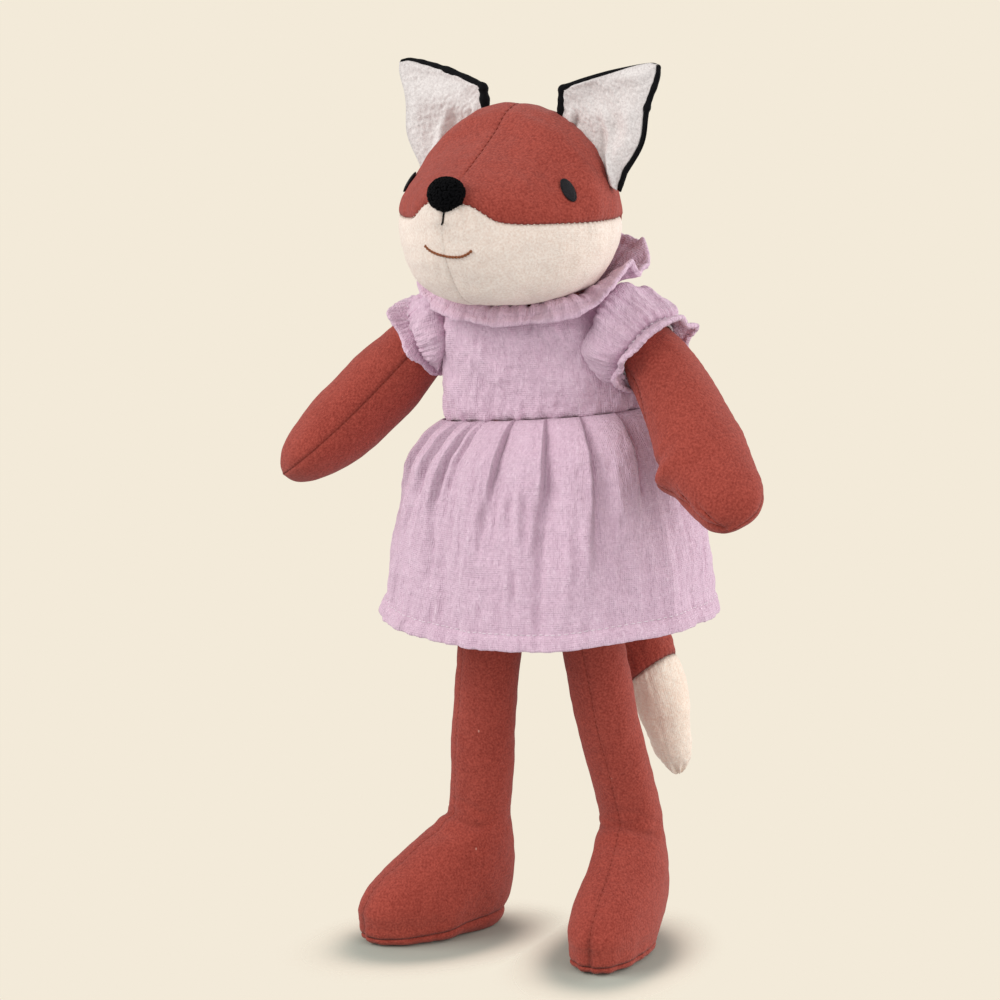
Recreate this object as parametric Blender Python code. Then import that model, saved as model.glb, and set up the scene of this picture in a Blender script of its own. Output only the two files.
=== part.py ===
"""A stuffed cotton fox that stands in a gathered dress, with turning head, swinging arms, legs and tail.

Metres, +Z up. The fox looks along -Y and its left side is +X. The origin is the middle of its
footprint on the ground. Each sewn piece is one object, and each joint has an empty on its axis.
"""

import math

import bmesh
import bpy
import numpy as np

# Cloth and clearances
CLOTH = 0.0012
GAP = 0.0003
RUNNING_GAP = 0.0005
OVERRUN = 0.01

# Levels above the ground
SOLE_TOP = 0.0074
ANKLE_LEVEL = 0.049
HIP_LEVEL = 0.155
WAIST_LEVEL = 0.2115
WAIST_SLOPE = 0.12
SHOULDER_LEVEL = 0.241
NECKLINE_LEVEL = 0.2555
HEAD_BOTTOM = 0.2555

# Trunk
CHEST_HALF_WIDTH = 0.0423
CHEST_HALF_DEPTH = 0.027
CHEST_POWER = 2.5
TRUNK_BACKSET = 0.001
SEAT_RISE = 0.009
NECK_FORWARD = 0.0115
NECK_TILT = 0.0025
NECK_RADIUS = 0.017
NECK_SINK = 0.0085
# Height from waist to neckline, then half width, half depth, forward lean and tilt
BODICE_SHARES = (
    (0.00, 0.990, 1.00, 0.00, 0.00),
    (0.18, 1.000, 1.01, 0.10, 0.00),
    (0.34, 0.985, 1.01, 0.24, 0.00),
    (0.50, 0.940, 1.00, 0.38, 0.02),
    (0.66, 0.900, 0.98, 0.54, 0.10),
    (0.80, 0.860, 0.94, 0.71, 0.30),
    (0.91, 0.770, 0.88, 0.87, 0.60),
    (1.00, 0.650, 0.80, 1.00, 1.00),
)
# Height from seat to waist, then half width and half depth
SEAT_SHARES = ((0.00, 0.78, 0.80), (0.18, 0.89, 0.92), (0.55, 0.94, 0.97), (1.00, 0.955, 0.955))
BODICE_PLACES = (0.0, 0.2, 0.4, 0.58, 0.72, 0.83, 0.92, 1.0)
PLACKET_WIDTH = 0.009

# Head
HEAD_LENGTH = 0.0845
HEAD_WIDTH = 0.084
HEAD_HEIGHT = 0.074
HEAD_BACK = 0.012
CHEEK_HEIGHT = 0.0325
CROWN_POWER = 1.9
JAW_POWER = 2.6
# Distance from the back of the head, then half width, crown height and jaw depth
HEAD_SHARES = (
    (0.000, 0.00, 0.00, 0.00),
    (0.030, 0.35, 0.36, 0.34),
    (0.090, 0.60, 0.61, 0.55),
    (0.180, 0.81, 0.82, 0.76),
    (0.290, 0.94, 0.95, 0.90),
    (0.400, 1.00, 1.00, 0.96),
    (0.500, 1.00, 0.93, 0.99),
    (0.600, 0.95, 0.74, 1.00),
    (0.700, 0.86, 0.58, 0.98),
    (0.790, 0.72, 0.47, 0.92),
    (0.870, 0.55, 0.39, 0.80),
    (0.940, 0.36, 0.30, 0.58),
    (0.980, 0.20, 0.20, 0.35),
    (1.000, 0.00, 0.00, 0.00),
)
NECK_TURN_Y = -0.0125

# The seam between rust hood and cream face, in side view
SIDE_SEAM_Y = -0.0055
MUZZLE_SEAM_RISE = 0.0085
MUZZLE_SEAM_SHARES = ((0.00, 0.00), (0.78, 0.01), (0.85, 0.06), (0.89, 0.18), (0.92, 0.50), (0.95, 0.90), (1.00, 1.00))

# Nose and eyes
NOSE_WIDTH = 0.0152
NOSE_HEIGHT = 0.0132
NOSE_DEPTH = 0.0125
NOSE_ABOVE_CHEEKS = 0.0105
NOSE_SEAT = 0.0035
NOSE_LEAN = math.radians(-20)
EYE_ABOVE_CHEEKS = 0.0115
EYE_FORWARD = 0.0195
EYE_WIDTH = 0.0066
EYE_HEIGHT = 0.0108
EYE_RISE = 0.0008
EYE_LEAN = math.radians(18)

# Ears, with corners as distances outward, forward of the neck's axis, and above the head's underside
EAR_CLOTH = 0.0015
EAR_ROOT = 0.006
EAR_CUP = 0.0045
EAR_BULGE = 0.0035
EAR_INNER = (0.0165, 0.0070, 0.0690)
EAR_OUTER = (0.0435, 0.0080, 0.0495)
EAR_CORNER = (0.0175, 0.0075, 0.0790)
EAR_TIP = (0.0573, 0.0042, 0.0890)

# Arms
ARM_LENGTH = 0.092
ARM_ROOT_RADIUS = 0.011
ARM_STUB = 0.0015
SHOULDER_INSET = 0.0038
SHOULDER_HALF_WIDTH = CHEST_HALF_WIDTH - SHOULDER_INSET
ARM_HALF_WIDTH = 0.014
ARM_HALF_THICKNESS = 0.0142
SHOULDER_Y = -0.0075
# The middle line of an arm as shares of its length: outward, forward, down
ARM_LINE_SHARES = ((0.0, 0.0, 0.0), (0.14, 0.0, 0.0), (0.30, 0.0, 0.29), (0.635, 0.335, 0.633))
# Distance along the arm, then half width in the seam's plane and half thickness
ARM_SHARES = (
    (0.00, ARM_ROOT_RADIUS / ARM_HALF_WIDTH, ARM_ROOT_RADIUS / ARM_HALF_THICKNESS),
    (0.08, 0.82, 0.81),
    (0.20, 0.87, 0.86),
    (0.40, 0.97, 0.95),
    (0.60, 1.06, 1.06),
    (0.76, 1.20, 1.05),
    (0.87, 1.20, 0.92),
    (0.94, 0.97, 0.72),
    (0.98, 0.60, 0.45),
    (1.00, 0.00, 0.00),
)
ARM_SEAMS = {"left": (0.73, 0.56, 0.39), "right": (0.41, -0.91, -0.02)}

# Sleeves
SLEEVE_PUFF = 0.0085
SLEEVE_RUFFLE = 0.0042
ELASTIC = 0.0008
RUFFLE_WAVE = 0.0016
SLEEVE_GATHERS = 10
# Distance along the arm, then share of the puff, share of the ruffle, share of the waves
SLEEVE_SHARES = (
    (0.000, 0.10, 0.0, 0.00),
    (0.025, 0.80, 0.0, 0.10),
    (0.080, 1.05, 0.0, 0.15),
    (0.125, 0.95, 0.0, 0.20),
    (0.155, 0.55, 0.0, 0.20),
    (0.175, 0.00, 0.0, 0.00),
    (0.200, 0.00, 0.45, 0.55),
    (0.235, 0.00, 1.00, 1.00),
)
# Height of a direction round the armhole, from -1 below to 1 above, then the sleeve's fullness there
SLEEVE_FULLNESS = ((-1.0, 0.0), (-0.2, 0.0), (0.3, 1.0), (1.0, 1.0))
ELASTIC_SHARE = 0.175
ELASTIC_WIDTH = 0.0022

# Collar ruffle
COLLAR_GATHERS = 20
COLLAR_WAVE = 0.0019
COLLAR_FRONT = (0.0125, math.radians(-14))
COLLAR_SIDE = (0.0150, math.radians(18))
COLLAR_BACK = (0.0195, math.radians(70))

# Skirt
HEM_HALF_WIDTH = 0.067
HEM_HALF_DEPTH = 0.053
HEM_FRONT_LEVEL = 0.128
HEM_SIDE_RISE = 0.007
HEM_SLOPE = 0.035
HEM_POWER = 2.1
SKIRT_FOLDS = 18
FOLD_DEPTH = 0.0021
# Distance from waist to hem, then share of the flare and of the folds' depth
SKIRT_SHARES = (
    (0.00, 0.00, 0.00),
    (0.08, 0.20, 0.90),
    (0.17, 0.42, 1.00),
    (0.36, 0.62, 0.75),
    (0.66, 0.85, 0.70),
    (1.00, 1.00, 1.00),
)

# Legs: hip, ankle and the way the foot points, for each side
LEG_RADIUS = 0.0125
HIP_X = 0.0200
HIP_Y = -0.003
LEFT_ANKLE = (0.0255, 0.0215)
RIGHT_ANKLE = (-0.0330, -0.001)
LEFT_TOE_ANGLE = math.radians(11)
RIGHT_TOE_ANGLE = math.radians(-27)
TOE_REACH = 0.051
HEEL_REACH = 0.0165
FOOT_HALF_WIDTH = 0.017
# Height from sole to ankle, then toe, heel and half width beyond the leg
FOOT_SHARES = (
    (0.00, 0.97, 0.78, 0.82),
    (0.13, 1.00, 0.95, 0.98),
    (0.28, 0.93, 1.00, 1.00),
    (0.44, 0.76, 0.96, 0.92),
    (0.60, 0.52, 0.80, 0.72),
    (0.76, 0.29, 0.50, 0.40),
    (0.90, 0.10, 0.14, 0.08),
    (1.00, 0.00, 0.00, 0.00),
)
# Height through the sole, then toe, heel and half width beyond the leg
SOLE_SHARES = ((0.0, 0.84, 0.20, 0.10), (0.3, 0.93, 0.55, 0.50), (1.0, 0.96, 0.75, 0.78))

# Tail
TAIL_RADIUS = 0.0112
TAIL_ROOT_RADIUS = 0.0078
TAIL_ROOT_X = 0.002
TAIL_DROP = math.radians(60)
# Points of the middle line, from the tail's root
TAIL_LINE = ((0.005, 0.0094, -0.0169), (0.016, 0.0204, -0.0489), (0.019, 0.0294, -0.0749), (0.016, 0.0469, -0.1049))
TAIL_SHARES = (
    (0.00, TAIL_ROOT_RADIUS / TAIL_RADIUS),
    (0.20, 0.86),
    (0.45, 0.98),
    (0.65, 1.00),
    (0.80, 0.86),
    (0.91, 0.60),
    (0.97, 0.34),
    (1.00, 0.00),
)
TAIL_SEAM_SHARE = 0.56
TAIL_SEAM_LEAN = math.radians(-38)

# Colours: (red, green, blue), roughness
RUST = ((0.36, 0.085, 0.055), 0.85)
CREAM = ((0.80, 0.68, 0.60), 0.85)
LINEN = ((0.74, 0.68, 0.63), 0.90)
BLACK = ((0.012, 0.011, 0.013), 0.90)
LILAC = ((0.60, 0.42, 0.52), 0.90)
WHITE_ELASTIC = ((0.80, 0.78, 0.78), 0.70)


def clear_scene():
    for obj in list(bpy.data.objects):
        bpy.data.objects.remove(obj)


def material(name, finish):
    found = bpy.data.materials.get(name)
    if found:
        return found
    made = bpy.data.materials.new(name)
    made.use_nodes = True
    shader = made.node_tree.nodes["Principled BSDF"]
    shader.inputs["Base Color"].default_value = (*finish[0], 1.0)
    shader.inputs["Roughness"].default_value = finish[1]
    return made


def smooth(table, places):
    """Every column after the first, read at the given places along a curve through the rows."""
    rows = np.array(table, float)
    x, values = rows[:, 0], rows[:, 1:]
    step = np.diff(x)[:, None]
    slope = np.diff(values, axis=0) / step
    tangent = np.zeros_like(values)
    tangent[0], tangent[-1] = slope[0], slope[-1]
    rising = slope[:-1] * slope[1:] > 0
    mean = 2 * slope[:-1] * slope[1:] / np.where(rising, slope[:-1] + slope[1:], 1)
    tangent[1:-1] = np.where(rising, mean, 0)
    places = np.atleast_1d(np.asarray(places, float))
    i = np.clip(np.searchsorted(x, places, side="right") - 1, 0, len(x) - 2)
    h = step[i]
    t = (places[:, None] - x[i][:, None]) / h
    return (
        (2 * t**3 - 3 * t**2 + 1) * values[i]
        + (t**3 - 2 * t**2 + t) * h * tangent[i]
        + (3 * t**2 - 2 * t**3) * values[i + 1]
        + (t**3 - t**2) * h * tangent[i + 1]
    )


def angles(count, start=0.0, sweep=2 * math.pi):
    """Angles round a closed ring, or along an arc with both of its ends."""
    closed = sweep >= 2 * math.pi
    return start + sweep * np.arange(count) / (count if closed else count - 1)


def oval_radius(theta, half_x, half_y, power):
    """Distance from the middle of a superellipse to its edge at each angle."""
    across = np.abs(np.cos(theta) / half_x) ** power
    along = np.abs(np.sin(theta) / half_y) ** power
    return (across + along) ** (-1 / power)


def unit(vector):
    vector = np.asarray(vector, float)
    return vector / np.linalg.norm(vector, axis=-1, keepdims=True)


def finish_mesh(name, bm, finish_name, finish, sharp=math.radians(50)):
    mesh = bpy.data.meshes.new(name)
    bm.to_mesh(mesh)
    bm.free()
    mesh.shade_smooth()
    mesh.set_sharp_from_angle(angle=sharp)
    mesh.materials.append(material(finish_name, finish))
    obj = bpy.data.objects.new(name, mesh)
    bpy.context.scene.collection.objects.link(obj)
    return obj


def add_quads(bm, grid, closed):
    """Faces between neighbouring rows of vertices."""
    columns = len(grid[0])
    for low, high in zip(grid, grid[1:]):
        for c in range(columns if closed else columns - 1):
            d = (c + 1) % columns
            bm.faces.new((low[c], low[d], high[d], high[c]))


def loft(name, rings, finish_name, finish, start=None, end=None):
    """A closed solid through rings of points. An end is a point that its last ring runs in to, or a flat cap."""
    bm = bmesh.new()
    grid = [[bm.verts.new(point) for point in ring] for ring in rings]
    add_quads(bm, grid, closed=True)
    for tip, ring in ((start, grid[0]), (end, grid[-1])):
        if tip is None:
            bm.faces.new(ring)
            continue
        pole = bm.verts.new(tip)
        for c, vertex in enumerate(ring):
            bm.faces.new((vertex, ring[(c + 1) % len(ring)], pole))
    bmesh.ops.recalc_face_normals(bm, faces=bm.faces)
    return finish_mesh(name, bm, finish_name, finish)


def wall(name, outer, inner, finish_name, finish, closed=True):
    """A cloth wall between an outer and an inner grid of points, closed round all of its edges."""
    bm = bmesh.new()
    outside = [[bm.verts.new(point) for point in row] for row in outer]
    inside = [[bm.verts.new(point) for point in row] for row in inner]
    add_quads(bm, outside, closed)
    add_quads(bm, inside, closed)
    for row in (0, -1):
        add_quads(bm, [outside[row], inside[row]], closed)
    if not closed:
        for column in (0, -1):
            edges = [[row[column] for row in face] for face in (outside, inside)]
            add_quads(bm, edges, closed)
    bmesh.ops.recalc_face_normals(bm, faces=bm.faces)
    return finish_mesh(name, bm, finish_name, finish)


def helper(obj):
    obj.hide_render = True
    obj.display_type = "WIRE"
    return obj


def cut(obj, cutter, operation="DIFFERENCE"):
    boolean = obj.modifiers.new(cutter.name, "BOOLEAN")
    boolean.operation = operation
    boolean.object = cutter
    boolean.solver = "EXACT"


def round_bar(name, centre, radius, half_length, axis):
    """A cylinder used as a cutter, along one of the axes."""
    bm = bmesh.new()
    bmesh.ops.create_cone(
        bm, cap_ends=True, segments=32, radius1=radius, radius2=radius, depth=2 * half_length
    )
    obj = finish_mesh(name, bm, "cutter", WHITE_ELASTIC)
    obj.location = centre
    obj.rotation_euler = (0, math.pi / 2, 0) if axis == "x" else (0, 0, 0)
    return helper(obj)


def ball(name, centre, radius):
    bm = bmesh.new()
    bmesh.ops.create_uvsphere(bm, u_segments=28, v_segments=18, radius=radius)
    obj = finish_mesh(name, bm, "cutter", WHITE_ELASTIC)
    obj.location = centre
    return helper(obj)


def pivot(name, place):
    """An empty on a joint's axis."""
    empty = bpy.data.objects.new(name, None)
    empty.empty_display_size = NECK_RADIUS
    empty.location = place
    bpy.context.scene.collection.objects.link(empty)
    return empty


def hang_on(empty, *pieces):
    """Parents pieces to an empty, leaving them where they are."""
    bpy.context.view_layer.update()
    for piece in pieces:
        piece.parent = empty
        piece.matrix_parent_inverse = empty.matrix_world.inverted()


# Trunk and bodice


def trunk_row(place, theta, inset):
    """One ring of the dress's bodice at a share of the way from waist to neckline, drawn in by inset."""
    wide, deep, forward, tilt = smooth(BODICE_SHARES, place)[0]
    half_x = CHEST_HALF_WIDTH * wide - inset
    half_y = CHEST_HALF_DEPTH * deep - inset
    r = oval_radius(theta, half_x, half_y, CHEST_POWER)
    x = r * np.cos(theta)
    y = r * np.sin(theta)
    level = WAIST_LEVEL + (NECKLINE_LEVEL - WAIST_LEVEL) * place
    z = level + NECK_TILT * tilt * y / half_y + WAIST_SLOPE * (1 - place) * x
    return np.stack([x, y + TRUNK_BACKSET - NECK_FORWARD * forward, z], axis=1)


def chest_side(level):
    """The bodice's half width at a level."""
    place = np.clip((level - WAIST_LEVEL) / (NECKLINE_LEVEL - WAIST_LEVEL), 0, 1)
    return CHEST_HALF_WIDTH * smooth(BODICE_SHARES, place)[:, 0]


def arm_root_x():
    """How far out an arm's root starts, flush with the inside of the bodice."""
    return chest_side(SHOULDER_LEVEL)[0] - CLOTH


def torso():
    """The stuffed trunk: seat, waist, shoulders with a recess for each arm, and a neck that plugs into the head."""
    theta = angles(30)
    inset = CLOTH + GAP
    seat_level = HIP_LEVEL + SEAT_RISE
    waist_x = CHEST_HALF_WIDTH
    waist_y = CHEST_HALF_DEPTH
    rings = []
    for place, wide, deep in SEAT_SHARES[:-1]:
        r = oval_radius(theta, waist_x * wide, waist_y * deep, CHEST_POWER)
        x = r * np.cos(theta)
        level = seat_level + (WAIST_LEVEL + WAIST_SLOPE * x - seat_level) * place
        rings.append(np.stack([x, r * np.sin(theta) + TRUNK_BACKSET, level], axis=1))
    rings += [trunk_row(place, theta, inset) for place in BODICE_PLACES[:-1]]
    neck_x = NECK_RADIUS * np.cos(theta)
    neck_y = NECK_RADIUS * np.sin(theta) + NECK_TURN_Y
    for level in (HEAD_BOTTOM - CLOTH, HEAD_BOTTOM + NECK_SINK):
        rings.append(np.stack([neck_x, neck_y, np.full_like(theta, level)], 1))
    body = loft("torso", rings, "rust_cotton", RUST)
    for side, sign in (("left", 1), ("right", -1)):
        socket = ball(
            f"hip_socket_{side}", (sign * HIP_X, HIP_Y, HIP_LEVEL), LEG_RADIUS + RUNNING_GAP
        )
        cut(body, socket)
        recess = round_bar(
            f"arm_recess_{side}",
            (sign * (arm_root_x() - GAP + CHEST_HALF_WIDTH), SHOULDER_Y, SHOULDER_LEVEL),
            ARM_ROOT_RADIUS + RUNNING_GAP,
            CHEST_HALF_WIDTH,
            "x",
        )
        cut(body, recess)
    return body


def bodice():
    """Front, two back halves and the lapped strip that closes the back, with a hole for each arm."""
    seam = math.asin(GAP / 2 / CHEST_HALF_WIDTH)
    lap = math.asin((PLACKET_WIDTH / 2 + GAP) / CHEST_HALF_DEPTH)
    strip = math.asin(PLACKET_WIDTH / 2 / CHEST_HALF_DEPTH)
    back = math.pi / 2
    panels = (
        ("bodice_front", -math.pi + seam, math.pi - 2 * seam, 25),
        ("bodice_back_left", seam, back - lap - seam, 12),
        ("bodice_back_right", back + lap, back - lap - seam, 12),
        ("back_placket", back - strip, 2 * strip, 4),
    )
    made = []
    for name, start, sweep, count in panels:
        theta = angles(count, start, sweep)
        outer, inner = ([trunk_row(place, theta, inset) for place in BODICE_PLACES] for inset in (0, CLOTH))
        made.append(wall(name, outer, inner, "lilac_gauze", LILAC, closed=False))
    armhole = round_bar(
        "armholes",
        (0, SHOULDER_Y, SHOULDER_LEVEL),
        ARM_ROOT_RADIUS + RUNNING_GAP,
        CHEST_HALF_WIDTH + OVERRUN,
        "x",
    )
    for panel in made[:3]:
        cut(panel, armhole)
    return made


def collar_ruffle():
    """The gathered frill on the neckline: it lies out over the chest and stands up behind the head."""
    theta = angles(4 * COLLAR_GATHERS)
    base = trunk_row(1.0, theta, 0)
    base[:, 2] += GAP
    front = np.clip(-np.sin(theta), 0, 1) ** 1.5
    back = np.clip(np.sin(theta), 0, 1)
    shares = np.stack([front, 1 - front - back, back], axis=1)
    width, rise = (shares @ np.array([COLLAR_FRONT, COLLAR_SIDE, COLLAR_BACK])).T
    out = np.stack([np.cos(theta), np.sin(theta), np.zeros_like(theta)], axis=1)
    up = np.array([0.0, 0.0, 1.0])
    along = out * np.cos(rise)[:, None] + up * np.sin(rise)[:, None]
    across = -out * np.sin(rise)[:, None] + up * np.cos(rise)[:, None]
    wave = np.cos(COLLAR_GATHERS * theta)
    rows = []
    for share in (0.0, 0.3, 0.65, 1.0):
        ripple = COLLAR_WAVE * wave * share
        rows.append(base + (width * share)[:, None] * along + ripple[:, None] * across)
    inner = [row + CLOTH * across for row in rows]
    return wall("collar_ruffle", rows, inner, "lilac_gauze", LILAC)


def skirt():
    """The gathered skirt: tight folds at the waist that soften towards a wide hem, longest in front."""
    theta = angles(4 * SKIRT_FOLDS)
    fold = np.cos(SKIRT_FOLDS * theta)
    side = np.minimum(np.cos(theta) ** 2 + (np.sin(theta) > 0) * np.sin(theta) ** 2, 1)
    hem_level = HEM_FRONT_LEVEL + HEM_SIDE_RISE * side
    waist_x = CHEST_HALF_WIDTH * BODICE_SHARES[0][1]
    waist_y = CHEST_HALF_DEPTH * BODICE_SHARES[0][2]
    outer, inner = [], []
    for place, flare, depth in SKIRT_SHARES:
        half_x = waist_x + (HEM_HALF_WIDTH - waist_x) * flare
        half_y = waist_y + (HEM_HALF_DEPTH - waist_y) * flare
        power = CHEST_POWER + (HEM_POWER - CHEST_POWER) * flare
        r = oval_radius(theta, half_x, half_y, power) + FOLD_DEPTH * depth * fold
        for rows, radius in ((outer, r), (inner, r - CLOTH)):
            x, y = radius * np.cos(theta), radius * np.sin(theta) + TRUNK_BACKSET
            top = WAIST_LEVEL - GAP + WAIST_SLOPE * x
            z = top + (hem_level + HEM_SLOPE * x - top) * place
            rows.append(np.stack([x, y, z], axis=1))
    return wall("skirt", outer, inner, "lilac_gauze", LILAC)


# Head


def cheek_level():
    """The level of the head's widest line."""
    return HEAD_BOTTOM + CHEEK_HEIGHT


def head_sizes(places):
    """Half width, height of the crown and depth of the jaw at shares of the head's length."""
    shares = smooth(HEAD_SHARES, places)
    crown = HEAD_HEIGHT - CHEEK_HEIGHT
    return shares * np.array([HEAD_WIDTH / 2, crown, CHEEK_HEIGHT])


def head_rings(grow):
    """Rings from the back of the head to the muzzle, all grown by the same amount."""
    theta = angles(32)
    turn = np.linspace(0, math.pi, 22)[1:-1]
    places = (1 - np.cos(turn)) / 2
    level = cheek_level()
    rings = []
    for place, (wide, crown, jaw) in zip(places, head_sizes(places)):
        upper = oval_radius(theta, wide + grow, crown + grow, CROWN_POWER)
        lower = oval_radius(theta, wide + grow, jaw + grow, JAW_POWER)
        r = np.where(np.sin(theta) > 0, upper, lower)
        y = HEAD_BACK + grow - (HEAD_LENGTH + 2 * grow) * place
        rings.append(np.stack([r * np.cos(theta), np.full_like(r, y), level + r * np.sin(theta)], 1))
    back = (0.0, HEAD_BACK + grow, level)
    front = (0.0, HEAD_BACK - HEAD_LENGTH - grow, level)
    return rings, back, front


def head_solid(name, grow=0.0, finish_name="rust_cotton", finish=RUST):
    rings, back, front = head_rings(grow)
    return loft(name, rings, finish_name, finish, back, front)


def seam_prism(name, grow):
    """The block that holds the cream face: below the cheek seam and in front of the side seams."""
    front = HEAD_BACK - HEAD_LENGTH
    places = np.sin(np.linspace(0, math.pi / 2, 14))
    y = SIDE_SEAM_Y + (front - SIDE_SEAM_Y) * places
    z = cheek_level() + MUZZLE_SEAM_RISE * smooth(MUZZLE_SEAM_SHARES, places)[:, 0] + grow
    profile = [(SIDE_SEAM_Y + grow, HEAD_BOTTOM - OVERRUN)]
    profile += [(SIDE_SEAM_Y + grow, z[0])]
    profile += list(zip(y[1:], z[1:]))
    profile += [(front - OVERRUN, z[-1]), (front - OVERRUN, HEAD_BOTTOM - OVERRUN)]
    half = HEAD_WIDTH / 2 + OVERRUN
    rings = [[(x, *point) for point in profile] for x in (-half, half)]
    return helper(loft(name, rings, "cutter", WHITE_ELASTIC))


def head():
    """The rust hood and the cream face, two parts of one stuffed head, with the hole for the neck."""
    hood = head_solid("head_hood")
    face = head_solid("face_panel", finish_name="cream_cotton", finish=CREAM)
    cut(hood, seam_prism("face_block_grown", GAP))
    cut(face, seam_prism("face_block", 0.0), "INTERSECT")
    depth = NECK_SINK + GAP
    hole = round_bar(
        "neck_hole",
        (0, NECK_TURN_Y, HEAD_BOTTOM + depth - NECK_RADIUS),
        NECK_RADIUS + RUNNING_GAP,
        NECK_RADIUS,
        "z",
    )
    cut(hood, hole)
    cut(face, hole)
    return [hood, face]


def head_edge(forward, height):
    """The x of the head's left surface at a distance in front of the widest ring and a height above the cheeks,
    its y, and its outward slope there."""
    widest = HEAD_BACK - HEAD_LENGTH * HEAD_SHARES[5][0]
    place = (HEAD_BACK - (widest - forward)) / HEAD_LENGTH
    step = 0.01
    found = []
    for share in (place - step, place, place + step):
        wide, crown, _ = head_sizes([share])[0]
        found.append(wide * (1 - (height / crown) ** CROWN_POWER) ** (1 / CROWN_POWER))
    slope = (found[2] - found[0]) / (2 * step * HEAD_LENGTH)
    return found[1], widest - forward, slope


def dome(name, centre, sizes, turn, finish_name, finish, cutter, segments):
    """A small stuffed or stitched dome, set against the head."""
    bm = bmesh.new()
    bmesh.ops.create_uvsphere(bm, u_segments=segments, v_segments=segments // 2, radius=1.0)
    bmesh.ops.scale(bm, vec=np.array(sizes) / 2, verts=bm.verts)
    obj = finish_mesh(name, bm, finish_name, finish)
    obj.rotation_euler = turn
    obj.location = centre
    cut(obj, cutter)
    return obj


def face_features():
    """The nose and the two stitched eyes, cut to the head's surface."""
    grown = helper(head_solid("head_grown", GAP))
    tip = HEAD_BACK - HEAD_LENGTH
    nose = dome(
        "nose",
        (0, tip + NOSE_SEAT, cheek_level() + NOSE_ABOVE_CHEEKS),
        (NOSE_WIDTH, NOSE_DEPTH, NOSE_HEIGHT),
        (NOSE_LEAN, 0, 0),
        "black_knit",
        BLACK,
        grown,
        16,
    )
    eyes = []
    x, y, slope = head_edge(EYE_FORWARD, EYE_ABOVE_CHEEKS)
    yaw = math.atan(slope)
    for side, sign in (("left", 1), ("right", -1)):
        eyes.append(
            dome(
                f"eye_{side}",
                (sign * x, y, cheek_level() + EYE_ABOVE_CHEEKS),
                (2 * EYE_RISE + 2 * GAP, EYE_WIDTH, EYE_HEIGHT),
                (EYE_LEAN, 0, sign * yaw),
                "black_thread",
                BLACK,
                grown,
                12,
            )
        )
    return [nose, *eyes], grown


def ear_rows(sign, back):
    """The sheet of an ear, from a root inside the head to its top edge, cupped forwards at its edges."""
    inner, outer, corner, tip = (
        np.array([out, NECK_TURN_Y - ahead, HEAD_BOTTOM + up])
        for out, ahead, up in (EAR_INNER, EAR_OUTER, EAR_CORNER, EAR_TIP)
    )
    u = np.linspace(0, 1, 9)[:, None]
    down = unit((inner + outer) / 2 - (corner + tip) / 2)
    rows = []
    for v in (-EAR_ROOT, 0.0, 0.25, 0.5, 0.75, 1.0):
        share = max(v, 0.0)
        base = inner + (outer - inner) * u
        top = corner + (tip - corner) * u
        row = base * (1 - share) + top * share
        if v < 0:
            row = row + down * EAR_ROOT
        row[:, 0] += EAR_BULGE * (4 * share * (1 - share) * u**2)[:, 0]
        cup = EAR_CUP * (4 * u * (1 - u) * (1 - share**2))[:, 0]
        row[:, 1] += cup + back
        row[:, 0] *= sign
        rows.append(row if sign > 0 else row[::-1])
    return rows


def ears(grown):
    made = []
    for side, sign in (("left", 1), ("right", -1)):
        for layer, back, finish_name, finish in (
            ("lining", 0.0, "linen_lining", LINEN),
            ("back", EAR_CLOTH + GAP, "black_cotton", BLACK),
        ):
            front, rear = ear_rows(sign, back), ear_rows(sign, back + EAR_CLOTH)
            ear = wall(f"ear_{side}_{layer}", front, rear, finish_name, finish, closed=False)
            cut(ear, grown)
            made.append(ear)
    return made


# Arms and sleeves


def arm_ring(side, place, grow, clear, theta):
    """A ring round the arm's middle line, square to it, grown outwards and kept clear of the chest."""
    sign = 1 if side == "left" else -1
    root = np.array([SHOULDER_HALF_WIDTH + ARM_STUB, SHOULDER_Y, SHOULDER_LEVEL])
    scale = ARM_LENGTH * np.array([1, -1, -1])
    p = [root + scale * np.array(share) for share in ARM_LINE_SHARES]
    q = 1 - place
    centre = q**3 * p[0] + 3 * q**2 * place * p[1] + 3 * q * place**2 * p[2] + place**3 * p[3]
    ahead = q**2 * (p[1] - p[0]) + 2 * q * place * (p[2] - p[1]) + place**2 * (p[3] - p[2])
    mirror = np.array([sign, 1, 1])
    centre, ahead = centre * mirror, unit(ahead * mirror)
    seam = np.array(ARM_SEAMS[side], float)
    seam = unit(seam - ahead * (seam @ ahead))
    cross = np.cross(ahead, seam)
    wide, thick = smooth(ARM_SHARES, place)[0]
    across = ((ARM_HALF_WIDTH * wide + grow) * np.cos(theta))[:, None] * seam
    through = ((ARM_HALF_THICKNESS * thick + grow) * np.sin(theta))[:, None] * cross
    ring = centre + across + through
    reach = np.hypot(ring[:, 1] - SHOULDER_Y, ring[:, 2] - SHOULDER_LEVEL)
    ring[:, 0] = sign * np.maximum(sign * ring[:, 0], chest_side(SHOULDER_LEVEL - reach) + clear)
    return ring


def arm(side):
    """The stuffed arm with its mitten hand, and a round root that fills the armhole."""
    theta = angles(22)
    places = np.sin(np.linspace(0, math.pi / 2, 16)) ** 1.15
    clear = 3 * GAP + CLOTH + ELASTIC
    rings = [arm_ring(side, place, 0, clear, theta) for place in places[:-1]]
    root = rings[0].copy()
    root[:, 0] = (1 if side == "left" else -1) * arm_root_x()
    rings.insert(0, root)
    tip = arm_ring(side, 1.0, 0, clear, theta)[0]
    return loft(f"arm_{side}", rings, "rust_cotton", RUST, None, tip)


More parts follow.
